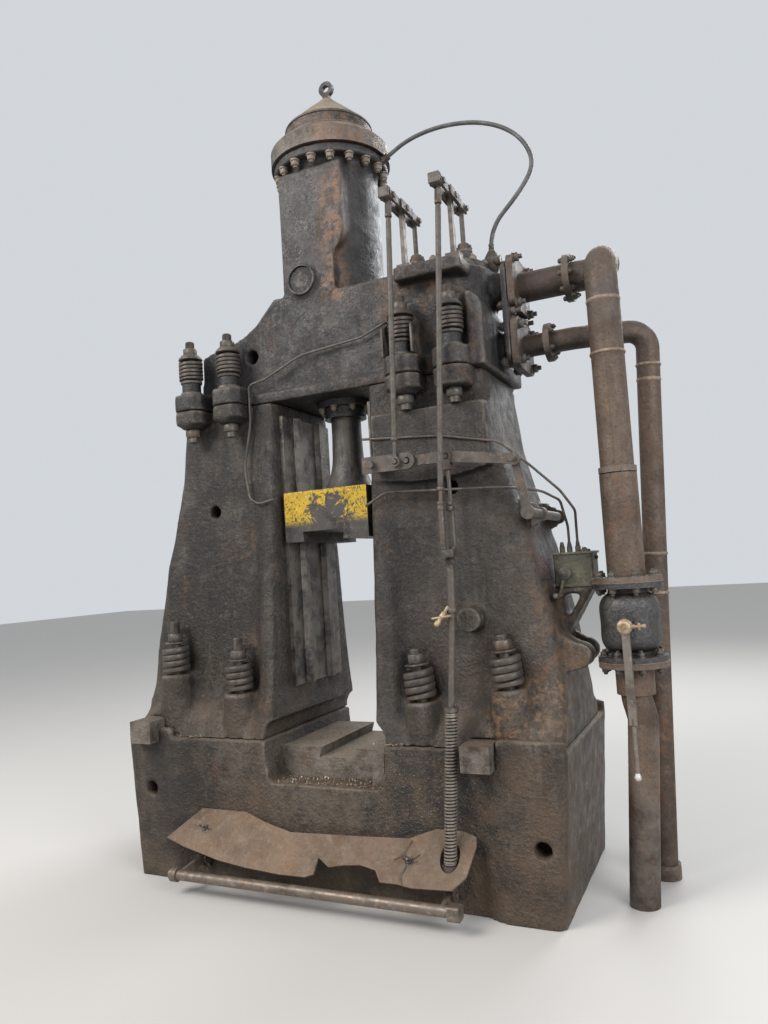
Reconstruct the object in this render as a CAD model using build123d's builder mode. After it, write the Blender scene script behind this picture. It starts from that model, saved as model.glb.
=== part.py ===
from build123d import *
from math import hypot, radians, tan
import os

os.makedirs("parts", exist_ok=True)

# Double-acting die forging hammer, from floor level up. Millimetres, +Z up.
# The origin is the centre of the anvil's bottom face, and the operator stands at -Y.

# Anvil
ANVIL_HEIGHT = 700
ANVIL_FOOT_FRONT = 500
ANVIL_MIDDLE_FRONT = 455
ANVIL_HALF_FLOOR = 1105
ANVIL_HALF_TOP = 1160
ANVIL_CORNER_CHAMFER = 30
FOOT_LIP_TOP = 752
FOOT_LIP_BACK = 462
FOOT_INNER = 860
FOOT_FACET = 100
RECESS_HALF = 325
RECESS_SLANT = 20
RECESS_FLOOR = 495
LIFTING_HOLE_R = 36
LIFTING_HOLE_DEPTH = 160
LEFT_LIFTING_HOLE = (-1000, 440)
RIGHT_LIFTING_HOLE = (1035, 310)

# Die holder and its wedge
SOW_TOP = 640
SOW_FRONT = 300
WEDGE_WIDTH = 80
WEDGE_TAPER = 14
WEDGE_FRONT = 395
FIT_GAP = 1

# Columns
COLUMN_INNER = 270
COLUMN_TOP = 2400
COLUMN_TOP_OUTER = 862
COLUMN_BAND = 60
COLUMN_EDGE_ROUND = 38
FOOT_NOTCH_HEIGHT = 90
FOOT_NOTCH_WIDTH = 60
CORE_HOLE_R = 34
CORE_HOLE_DEPTH = 110
LUG_DROP = 75
LUG_FRONT = 425

# Bolts and springs that clamp the columns
BOLT_R = 26
BOLT_NUT_R = 42
BOLT_NUT_HEIGHT = 44
SPRING_R = 71
SPRING_BORE_R = 40
SPRING_TURNS = 4
SPRING_GROOVE = 10
FRONT_BOLT_X = 500
FRONT_BOLT_Y = 385
SIDE_BOLT_X = 908
SIDE_BOLT_Y = 375
LEFT_SEATS = (918, 1010)
RIGHT_SEATS = (890, 945)
RIGHT_LEAN = 5
FOOT_SPRING_LENGTH = 160
SEAT_BOSS_R = 80
SEAT_BOSS_FOOT_R = 113
HEAD_BOLT_INNER_X = 500
HEAD_BOLT_OUTER_X = 745
HEAD_BOLT_Y = 350
HEAD_SLEEVE = 75
HEAD_COIL = 118
HEAD_TURNS = 5
HEAD_CAP = 26
HEAD_SPRING_R = 64
HEAD_SLEEVE_R = 50
BOLT_STUB = 62
RIGHT_BOLT_STUB = 22

# Keys that lock the columns
LEFT_KEY = (-1008, 735)
RIGHT_KEY = (790, 680)
KEY_WIDTH = 130
KEY_HEIGHT = 110
KEY_BACK = 200
KEY_FRONT = 560

# Guides
GUIDE_BOTTOM = 930
GUIDE_TOP = 2330
GUIDE_PLATE = 22
GUIDE_HALF_DEPTH = 245
GUIDE_RIB = 26
GUIDE_RIB_WIDTH = 60
GUIDE_RIB_Y = 110

# Ram, rod and piston
RAM_HALF_WIDTH = 236
RAM_HALF_DEPTH = 290
RAM_BOTTOM = 1660
RAM_TOP = 1915
RAM_SLOT_LEFT = -135
RAM_SLOT_RIGHT = 100
RAM_SLOT_DEPTH = 50
SOW_DOVETAIL_HALF = 105
SOW_DOVETAIL_DEPTH = 48
RAM_RUN_GAP = 6
NECK_R = 84
NECK_FOOT_R = 150
NECK_HEIGHT = 190
ROD_R = 80
PISTON_BOTTOM = 3330
PISTON_HEIGHT = 180

# Head: yoke, cylinder and valve chest
LUG_THICKNESS = 90
YOKE_HALF = 750
YOKE_HALF_DEPTH = 265
YOKE_SHOULDER = 2735
YOKE_CREST = 2900
BAND_FRONT = 292
BAND_HEIGHT = 52
CYLINDER_R = 252
CYLINDER_FOOT_R = 262
BORE_R = 180
BORE_FLOOR = 2450
CYLINDER_TOP = 3700
TOP_FLANGE_R = 312
TOP_FLANGE_HEIGHT = 50
PAD_HALF = 185
PAD_FRONT = 268
PAD_BOTTOM = 3180
PAD_WAIST_X = 118
PAD_WAIST_Z = 3105
PAD_TOP = 3600
ROUND_BOSS_X = -65
ROUND_BOSS_Z = 3010
ROUND_BOSS_R = 82
ROUND_BOSS_FRONT = 284
CHEST_X = 645
CHEST_R = 235
CHEST_TOP = 2930
CHEST_Y = -40
SHELF_THICK = 70
SHELF_HALF = 170
SHELF_REACH = 80
ARCH_OUTER = 895
ARCH_TOP = 2762
ARCH_FRONT = 330
HOOD_HALF = 80
HOOD_WALL = 10
HOOD_BACK = 276
HOOD_FOOT = 2490
HOOD_EAVES = 2690
HOOD_PEAK = 2760
HOOD_FRONT = 415
ROUND_LUG_R = 86
BARREL_R = 88
UPPER_BARREL_Z = 2830
LOWER_BARREL_Z = 2530
BARREL_END_X = 975
FLANGE_THICK = 32

# Cover
COVER_R = 326
COVER_SKIRT = 82
COVER_DRUM_R = 237
COVER_DRUM_TOP = 3915
COVER_CONE_TOP = 4060
COVER_CONE_R = 60
COVER_NOSE_TOP = 4090
EYE_R = 42
EYE_BAR_R = 12

# Gland
GLAND_R = 150
GLAND_DROP = 90
GLAND_SLEEVE_R = 112

# Valve gear
GEAR_Y = 450
ROD_R_THIN = 9
FIRST_ROD_X = 480
LINK_Z = 1980
BAR_PIVOT_X = 355
BAR_END_X = 530
CLEVIS_X = 715
FIXED_PIVOT_X = 1020
PIN_R = 11
PIN_GAP = 0.08
BAR_THICK = 18
BAR_HALF = 38
ROCKER_Z = 3230
STEM_Y = 130
STEM_A_X = 520
STEM_B_X = 770
FULCRUM_Y = 290
FULCRUM_FOOT = 56
COLLAR_R = 17
COLLAR_GAP = 0.1

LEVER_THICK = 16
THROTTLE_ROD_Y = 490
OPEN_PIVOT_GAP = 3.5
END_PIVOT_GAP = 5.5
FIXED_PIVOT_Z = 1935
PAD_Y = 345
PAD_INNER = 290
PAD_OUTER = 895
PAD_FOOT = 1900
PAD_HEAD = 2236
BUSH_X = 752
BUSH_Z = 1250
BUSH_R = 56
BUSH_FRONT = 405
SHAFT_X = 1058
SHAFT_Z = 1700
SHAFT_BRACKET_Y = 190
SHAFT_FLAT_X = 1016

# Treadle
TREADLE_PIVOT_Y = 480
TREADLE_PIVOT_Z = 115
TREADLE_TUBE_Y = 655
TREADLE_TUBE_Z = 95
TREADLE_TUBE_R = 24
TREADLE_LEFT_ARM_X = -700
TREADLE_ARM_X = 640
ROD_FOOT_Y = 545
PIVOT_EYE_R = 22
ROD_FOOT_Z = 150
ROD_HEAD = (700, -456, 1295)
PULL_ROD_R = 15
BUCKLE_TOP = 1760
BUCKLE_FOOT = 1555
BUCKLE_R = 14
BUCKLE_A_X = 692
BUCKLE_B_X = 720
SOCKET_X = 706
SOCKET_R = 19
FORK_BRIDGE = 46
SPRING_FOOT = 235
SPRING_TOP = 865
SPRING_OUTER_R = 29
SPRING_INNER_R = 20
SEAT_THICK = 22
SPRING_HOLE_R = 44
COVER_PLATE_BACK_Z = 345
COVER_PLATE_SLOPE = 1.125
COVER_PLATE_THICK = 10
TREADLE_LEFT_X = -760
TREADLE_RIGHT_X = 722

# Pipes and stop valve
RISER_X = 1412
RISER_Y = -190
INLET_PIPE_R = 72
EXHAUST_PIPE_R = 53
LOWER_PIPE_R = 64
VALVE_FLANGE_R = 145
VALVE_TOP_Z = 1375
VALVE_BOTTOM_Z = 1040
VALVE_BODY_R = 124
VALVE_CENTRE_Z = 1200
INLET_Z = 2822
EXHAUST_TOP = (1560, 100)
EXHAUST_FOOT = (1430, 180)
SUPPLY_FOOT = (1368, -150)
JOG_Z = 850

# Lubricator and hose
LUBE_LEFT = 1085
LUBE_RIGHT = 1262
LUBE_FRONT = 125
LUBE_BACK = -25
LUBE_FOOT = 1362
LUBE_TOP = 1520
OIL_PIPE_R = 6
HOSE_R = 11
HOSE_X = 872
HOSE_FOOT = 3045
HOSE_ROUTE = [
    (HOSE_X, 0, HOSE_FOOT),
    (HOSE_X, 0, 3158),
    (1032, 0, 3300),
    (1120, 0, 3425),
    (1077, 0, 3560),
    (972, 0, 3665),
    (822, 0, 3735),
    (632, 0, 3765),
    (462, 0, 3745),
    (350, 0, 3690),
]
HOSE_SOCKET = (298, 0, 3664.46)
HOSE_BENDS = []
for before, corner, after in zip(HOSE_ROUTE, HOSE_ROUTE[1:], HOSE_ROUTE[2:]):
    run_in = Vector(*corner) - Vector(*before)
    run_out = Vector(*after) - Vector(*corner)
    half_turn = radians(run_in.get_angle(run_out)) / 2
    HOSE_BENDS.append(0.45 * min(run_in.length, run_out.length) / tan(half_turn))
OIL_OUTLETS = ((1118, -60), (1152, -60), (1190, -60))
OIL_ROUTES = (
    (
        [
            (262, -352, 2124),
            (660, -352, 2092),
            (938, -352, 2030),
            (1051, -280, 1917),
            (1158, -200, 1799),
            (1206, -140, 1708),
            (1190, -60, 1620),
            (1190, -60, 1546),
        ],
        [600, 110, 200, 200, 60, 60],
    ),
    (
        [
            (268, -371, 1800),
            (368, -352, 1858),
            (930, -352, 1826),
            (1082, -260, 1803),
            (1146, -160, 1758),
            (1152, -60, 1640),
            (1152, -60, 1546),
        ],
        [120, 150, 150, 60, 60],
    ),
    (
        [
            (399, -275, 2690),
            (399, -300, 2690),
            (260, -300, 2640),
            (-88, -300, 2612),
            (-300, -310, 2520),
            (-398, -322, 2500),
            (-398, -322, 2290),
            (-452, -314, 2062),
            (-425, -320, 1905),
            (-352, -352, 1868),
            (-262, -346, 1885),
        ],
        [20, 150, 300, 90, 35, 300, 200, 50, 60],
    ),
)


def save(part, name):
    """Label a finished piece and write it."""
    part.label = name
    export_step(part, "parts/" + name + ".step")


def rod_between(start, end, radius):
    """Add a round bar between two points to the piece being built."""
    direction = Vector(*end) - Vector(*start)
    with BuildSketch(Plane(origin=start, z_dir=direction)) as profile:
        Circle(radius)
    extrude(profile.sketch, amount=direction.length)


def tube_route(points, radius, bends):
    """Add a solid bar along straight runs joined by arcs."""
    with BuildLine() as route:
        if bends:
            FilletPolyline(*points, radius=bends)
        else:
            Polyline(*points)
    with BuildSketch(Plane(origin=points[0], z_dir=Vector(*points[1]) - Vector(*points[0]))) as profile:
        Circle(radius)
    sweep(profile.sketch, path=route.wire())


def plan_outline(half_width, extra):
    """Plan of the anvil at one level, as points going round."""
    front = ANVIL_FOOT_FRONT + extra
    quarter = [
        (FOOT_INNER - FOOT_FACET, -ANVIL_MIDDLE_FRONT - extra),
        (FOOT_INNER, -front),
        (half_width - ANVIL_CORNER_CHAMFER, -front),
        (half_width, -front + ANVIL_CORNER_CHAMFER),
    ]
    right = quarter + [(x, -y) for x, y in reversed(quarter)]
    left = [(-x, -y) for x, y in right]
    return right + left


def key_slots():
    """Cut the two key slots, a little wider and higher than the keys, in the piece being built."""
    for x, z in (LEFT_KEY, RIGHT_KEY):
        with BuildSketch(Plane.XZ.offset(KEY_BACK)) as slot:
            with Locations((x, z + FIT_GAP)):
                Rectangle(KEY_WIDTH + 2 * FIT_GAP, KEY_HEIGHT + 2 * FIT_GAP)
            with Locations((x, z - KEY_HEIGHT / 2 - FIT_GAP)):
                Rectangle(KEY_WIDTH + 3 * FIT_GAP, 2 * FIT_GAP, mode=Mode.SUBTRACT)
        extrude(slot.sketch, amount=KEY_FRONT, mode=Mode.SUBTRACT)


# The anvil, one casting that widens towards its top
with BuildPart() as anvil_block:
    with BuildSketch(Plane.XY):
        Polygon(*plan_outline(ANVIL_HALF_FLOOR, 0), align=None)
    with BuildSketch(Plane.XY.offset(ANVIL_HEIGHT)):
        Polygon(*plan_outline(ANVIL_HALF_TOP, 0), align=None)
    loft(ruled=True)
    # Raised lips along the feet, in front of and behind the columns
    for face in (-1, 1):
        with BuildSketch(Plane.XY.offset(ANVIL_HEIGHT)):
            for side in (-1, 1):
                Polygon(
                    (side * FOOT_INNER, face * ANVIL_FOOT_FRONT),
                    (side * (ANVIL_HALF_TOP - ANVIL_CORNER_CHAMFER), face * ANVIL_FOOT_FRONT),
                    (side * ANVIL_HALF_TOP, face * (ANVIL_FOOT_FRONT - ANVIL_CORNER_CHAMFER)),
                    (side * ANVIL_HALF_TOP, face * FOOT_LIP_BACK),
                    (side * FOOT_INNER, face * FOOT_LIP_BACK),
                    align=None,
                )
        extrude(amount=FOOT_LIP_TOP - ANVIL_HEIGHT)
    with BuildSketch(Plane.XZ):
        Polygon(
            (-RECESS_HALF, ANVIL_HEIGHT),
            (-RECESS_HALF + RECESS_SLANT, RECESS_FLOOR),
            (RECESS_HALF - RECESS_SLANT, RECESS_FLOOR),
            (RECESS_HALF, ANVIL_HEIGHT),
            align=None,
        )
    extrude(amount=ANVIL_FOOT_FRONT, both=True, mode=Mode.SUBTRACT)
    for place in (LEFT_LIFTING_HOLE, RIGHT_LIFTING_HOLE):
        with BuildSketch(Plane.XZ.offset(ANVIL_FOOT_FRONT + 20)):
            with Locations(place):
                Circle(LIFTING_HOLE_R)
        extrude(amount=-LIFTING_HOLE_DEPTH, mode=Mode.SUBTRACT)
    key_slots()
save(anvil_block.part, "anvil_block")

# The die holder in the anvil's recess, with a dovetail for the lower die
sow_foot = RECESS_HALF - RECESS_SLANT
sow_right = sow_foot - WEDGE_WIDTH
sow_left_top = -sow_foot + FIT_GAP - RECESS_SLANT * (SOW_TOP - RECESS_FLOOR) / (ANVIL_HEIGHT - RECESS_FLOOR)
with BuildPart() as sow_block:
    with BuildSketch(Plane.XZ.offset(-SOW_FRONT)):
        Polygon(
            (-sow_foot + FIT_GAP, RECESS_FLOOR),
            (sow_right, RECESS_FLOOR),
            (sow_right + WEDGE_TAPER, SOW_TOP),
            (SOW_DOVETAIL_HALF - 15, SOW_TOP),
            (SOW_DOVETAIL_HALF, SOW_TOP - SOW_DOVETAIL_DEPTH),
            (-SOW_DOVETAIL_HALF, SOW_TOP - SOW_DOVETAIL_DEPTH),
            (-SOW_DOVETAIL_HALF + 15, SOW_TOP),
            (sow_left_top, SOW_TOP),
            align=None,
        )
    extrude(amount=2 * SOW_FRONT)
save(sow_block.part, "sow_block")

with BuildPart() as die_wedge:
    with BuildSketch(Plane.XZ.offset(-SOW_FRONT)):
        Polygon(
            (sow_right + FIT_GAP, RECESS_FLOOR),
            (sow_foot - 16, RECESS_FLOOR),
            (sow_foot - 10, SOW_TOP + 5),
            (sow_right + WEDGE_TAPER + FIT_GAP, SOW_TOP + 5),
            align=None,
        )
    extrude(amount=SOW_FRONT + WEDGE_FRONT)
save(die_wedge.part, "die_wedge")

# Levels of the columns: height, front of the inner band, front of the face, outer side
COLUMN_LEVELS = (
    (ANVIL_HEIGHT, 450, 450, 1140),
    (770, 446, 420, 1142),
    (860, 432, 352, 1140),
    (980, 415, 315, 1128),
    (1180, 392, 303, 1108),
    (1560, 362, 298, 1030),
    (1860, 338, 292, 945),
    (2060, 318, 289, 898),
    (COLUMN_TOP, 295, 285, COLUMN_TOP_OUTER),
)


def foot_bolts(side):
    """Seat centres of one column's foot bolts, front and back."""
    seats = LEFT_SEATS if side < 0 else RIGHT_SEATS
    inner = [(side * FRONT_BOLT_X, face * FRONT_BOLT_Y, seats[0]) for face in (-1, 1)]
    outer = [(side * SIDE_BOLT_X, face * SIDE_BOLT_Y, seats[1]) for face in (-1, 1)]
    return inner + outer


def bolt_plane(place, lean, drop):
    """A plane across a bolt that leans to the left by some degrees, below its seat."""
    seat = Plane(origin=place, z_dir=Vector(0, 0, 1).rotate(Axis.Y, -lean))
    return seat.offset(-drop)


def column(side):
    """One column casting with its foot bosses and its head lugs."""
    lean = 0 if side < 0 else RIGHT_LEAN
    with BuildPart() as body:
        for level, band, face, outer in COLUMN_LEVELS:
            front = [
                (side * COLUMN_INNER, -band + COLUMN_EDGE_ROUND),
                (side * (COLUMN_INNER + COLUMN_EDGE_ROUND * 0.4), -band + COLUMN_EDGE_ROUND * 0.22),
                (side * (COLUMN_INNER + COLUMN_EDGE_ROUND), -band),
                (side * (COLUMN_INNER + COLUMN_EDGE_ROUND + COLUMN_BAND), -face - (band - face) * 0.75),
                (side * (COLUMN_INNER + 2 * COLUMN_BAND + COLUMN_EDGE_ROUND), -face),
                (side * (outer - 45), -face),
                (side * (outer - 10), -face + 18),
                (side * outer, -face + 55),
            ]
            back = [(x, -y) for x, y in reversed(front)]
            with BuildSketch(Plane.XY.offset(level)):
                Polygon(*front, *back, align=None)
        loft(ruled=True)
        with BuildSketch(Plane.XZ):
            Polygon(
                (side * COLUMN_INNER, ANVIL_HEIGHT),
                (side * (COLUMN_INNER + FOOT_NOTCH_WIDTH), ANVIL_HEIGHT),
                (side * (COLUMN_INNER + FOOT_NOTCH_WIDTH - 8), ANVIL_HEIGHT + 45),
                (side * (COLUMN_INNER + FOOT_NOTCH_WIDTH - 28), ANVIL_HEIGHT + FOOT_NOTCH_HEIGHT - 10),
                (side * COLUMN_INNER, ANVIL_HEIGHT + FOOT_NOTCH_HEIGHT),
                align=None,
            )
        extrude(amount=ANVIL_FOOT_FRONT, both=True, mode=Mode.SUBTRACT)
        # Pockets behind the springs, and the seat bosses in them
        for place in foot_bolts(side):
            with BuildSketch(bolt_plane(place, lean, 0)):
                Circle(SPRING_R + 16)
            extrude(amount=FOOT_SPRING_LENGTH + 60, mode=Mode.SUBTRACT)
        for place in foot_bolts(side):
            face = 1 if place[1] > 0 else -1
            with BuildSketch(Plane.XY.offset(ANVIL_HEIGHT)):
                with Locations((place[0] + side * 6, face * (ANVIL_MIDDLE_FRONT - SEAT_BOSS_FOOT_R - 4))):
                    Circle(SEAT_BOSS_FOOT_R)
            with BuildSketch(bolt_plane(place, lean, 0)):
                Circle(SEAT_BOSS_R)
            loft()
        # Head lugs under the yoke's lugs
        for face in (-1, 1):
            with BuildSketch(Plane.XY.offset(COLUMN_TOP - LUG_DROP)):
                for x in (HEAD_BOLT_INNER_X, HEAD_BOLT_OUTER_X):
                    Polygon(
                        (side * (x - 88), face * 200),
                        (side * (x - 88), face * (LUG_FRONT - 40)),
                        (side * (x - 50), face * LUG_FRONT),
                        (side * (x + 50), face * LUG_FRONT),
                        (side * (x + 88), face * (LUG_FRONT - 40)),
                        (side * (x + 88), face * 200),
                        align=None,
                    )
            extrude(amount=LUG_DROP)
            with BuildSketch(Plane.XY.offset(COLUMN_TOP - LUG_DROP - 22)):
                for x in (HEAD_BOLT_INNER_X, HEAD_BOLT_OUTER_X):
                    with Locations((side * x, face * HEAD_BOLT_Y)):
                        Circle(60)
            extrude(amount=22)
        # Bolt holes
        for place in foot_bolts(side):
            with BuildSketch(bolt_plane(place, lean, place[2] - ANVIL_HEIGHT + 10)):
                Circle(BOLT_R + FIT_GAP)
            extrude(amount=place[2] - ANVIL_HEIGHT + 10, mode=Mode.SUBTRACT)
        for face in (-1, 1):
            for x in (HEAD_BOLT_INNER_X, HEAD_BOLT_OUTER_X):
                with BuildSketch(Plane.XY.offset(COLUMN_TOP)):
                    with Locations((side * x, face * HEAD_BOLT_Y)):
                        Circle(BOLT_R + FIT_GAP)
                extrude(amount=-LUG_DROP - 22, mode=Mode.SUBTRACT)
        # Core hole in the front wall
        with BuildSketch(Plane.XZ.offset(ANVIL_FOOT_FRONT)):
            with Locations((side * 675, 1855)):
                Circle(CORE_HOLE_R)
        extrude(amount=-CORE_HOLE_DEPTH - 205, mode=Mode.SUBTRACT)
        key_slots()
    return body.part


save(column(-1), "left_column")

# The right column also has a raised pad in front, flats, lobes and a bracket on its outer side
with BuildPart() as right_column:
    add(column(1))
    with BuildSketch(Plane.XZ.offset(200)):
        with BuildLine():
            Polyline(
                (PAD_INNER + 20, PAD_FOOT + 20),
                (PAD_INNER + 20, PAD_HEAD),
                (PAD_OUTER - 15, PAD_HEAD),
                (PAD_OUTER, PAD_FOOT + 40),
            )
            Spline(
                (PAD_OUTER, PAD_FOOT + 40),
                ((PAD_INNER + PAD_OUTER) / 2, PAD_FOOT - 6),
                (PAD_INNER + 20, PAD_FOOT + 20),
            )
        make_face()
    extrude(amount=PAD_Y - 200)
    with BuildSketch(Plane.YZ.offset(900)):
        for y in (-SHAFT_BRACKET_Y, SHAFT_BRACKET_Y):
            with Locations((y, SHAFT_Z)):
                Rectangle(60, 150)
    extrude(amount=SHAFT_FLAT_X - 900)
    with BuildSketch(Plane.XY.offset(COLUMN_TOP)):
        with Locations((HEAD_BOLT_OUTER_X, -HEAD_BOLT_Y), (HEAD_BOLT_OUTER_X, HEAD_BOLT_Y)):
            Circle(ROUND_LUG_R)
            Circle(BOLT_R + FIT_GAP, mode=Mode.SUBTRACT)
    extrude(amount=-LUG_DROP - 22)
    with BuildSketch(Plane.XZ.offset(200)):
        with Locations((BUSH_X, BUSH_Z)):
            Circle(BUSH_R)
    extrude(amount=BUSH_FRONT - 200)
    with BuildSketch(Plane.XZ.offset(BUSH_FRONT - 46)):
        with Locations((BUSH_X, BUSH_Z)):
            Circle(BUSH_R + 1)
            Circle(BUSH_R - 12, mode=Mode.SUBTRACT)
    extrude(amount=22, mode=Mode.SUBTRACT)
    for y, reach in ((-215, 1190), (-120, 1190), (70, 1180)):
        with BuildSketch(Plane.XZ.offset(-y)):
            Polygon((1050, 960), (reach, 1010), (reach, 1120), (1050, 1200), align=None)
            with Locations((reach, 1065)):
                Circle(55)
        extrude(amount=38)
    with BuildSketch(Plane.XZ.offset(LUBE_BACK)):
        Polygon(
            (1020, 1080),
            (LUBE_LEFT, 1080),
            (LUBE_RIGHT - 10, LUBE_FOOT - 12),
            (LUBE_RIGHT, LUBE_FOOT),
            (1020, LUBE_FOOT),
            align=None,
        )
        Polygon(
            (1120, 1200),
            (1120, LUBE_FOOT - 30),
            (LUBE_RIGHT - 60, LUBE_FOOT - 30),
            align=None,
            mode=Mode.SUBTRACT,
        )
    extrude(amount=LUBE_FRONT - LUBE_BACK)
save(right_column.part, "right_column")


def guide(side):
    """A guide plate with two ribs that the ram's grooves run on."""
    face = side * (COLUMN_INNER - GUIDE_PLATE)
    with BuildPart() as rail:
        with BuildSketch(Plane.XY.offset(GUIDE_BOTTOM)):
            with Locations((side * (COLUMN_INNER - GUIDE_PLATE / 2), 0)):
                Rectangle(GUIDE_PLATE, 2 * GUIDE_HALF_DEPTH)
            for y in (-GUIDE_RIB_Y, GUIDE_RIB_Y):
                Polygon(
                    (face, y - GUIDE_RIB_WIDTH / 2),
                    (face, y + GUIDE_RIB_WIDTH / 2),
                    (face - side * GUIDE_RIB, y + GUIDE_RIB_WIDTH / 4),
                    (face - side * GUIDE_RIB, y - GUIDE_RIB_WIDTH / 4),
                    align=None,
                )
        extrude(amount=GUIDE_TOP - GUIDE_BOTTOM)
    return rail.part


save(guide(-1), "left_guide")
save(guide(1), "right_guide")

# Ram, neck and rod, one forging
with BuildPart() as ram:
    with BuildSketch(Plane.XY.offset(RAM_BOTTOM)):
        Rectangle(2 * RAM_HALF_WIDTH, 2 * RAM_HALF_DEPTH)
    extrude(amount=RAM_TOP - RAM_BOTTOM)
    groove = GUIDE_RIB + RAM_RUN_GAP - (COLUMN_INNER - GUIDE_PLATE - RAM_HALF_WIDTH)
    with BuildSketch(Plane.XY.offset(RAM_BOTTOM)):
        for side in (-1, 1):
            for y in (-GUIDE_RIB_Y, GUIDE_RIB_Y):
                Polygon(
                    (side * (RAM_HALF_WIDTH + 1), y - GUIDE_RIB_WIDTH / 2 - RAM_RUN_GAP),
                    (side * (RAM_HALF_WIDTH + 1), y + GUIDE_RIB_WIDTH / 2 + RAM_RUN_GAP),
                    (side * (RAM_HALF_WIDTH - groove), y + GUIDE_RIB_WIDTH / 4 + RAM_RUN_GAP),
                    (side * (RAM_HALF_WIDTH - groove), y - GUIDE_RIB_WIDTH / 4 - RAM_RUN_GAP),
                    align=None,
                )
    extrude(amount=RAM_TOP - RAM_BOTTOM, mode=Mode.SUBTRACT)
    with BuildSketch(Plane.XZ.offset(-RAM_HALF_DEPTH)):
        Polygon(
            (RAM_SLOT_LEFT, RAM_BOTTOM + RAM_SLOT_DEPTH),
            (RAM_SLOT_RIGHT, RAM_BOTTOM + RAM_SLOT_DEPTH),
            (RAM_SLOT_RIGHT - 6, RAM_BOTTOM),
            (RAM_SLOT_LEFT + 6, RAM_BOTTOM),
            align=None,
        )
    extrude(amount=2 * RAM_HALF_DEPTH, mode=Mode.SUBTRACT)
    with BuildSketch(Plane.XZ):
        with BuildLine():
            Polyline(
                (NECK_R, RAM_TOP + NECK_HEIGHT),
                (ROD_R, RAM_TOP + NECK_HEIGHT + 120),
                (ROD_R, PISTON_BOTTOM),
                (0, PISTON_BOTTOM),
                (0, RAM_TOP),
                (NECK_FOOT_R, RAM_TOP),
            )
            Spline(
                (NECK_FOOT_R, RAM_TOP),
                (NECK_R + 30, RAM_TOP + 60),
                (NECK_R + 8, RAM_TOP + 130),
                (NECK_R, RAM_TOP + NECK_HEIGHT),
            )
        make_face()
    revolve(axis=Axis.Z)
save(ram.part, "ram")

with BuildPart() as piston:
    with BuildSketch(Plane.XY.offset(PISTON_BOTTOM)):
        Circle(BORE_R - 0.3)
    extrude(amount=PISTON_HEIGHT)
save(piston.part, "piston")

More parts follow.
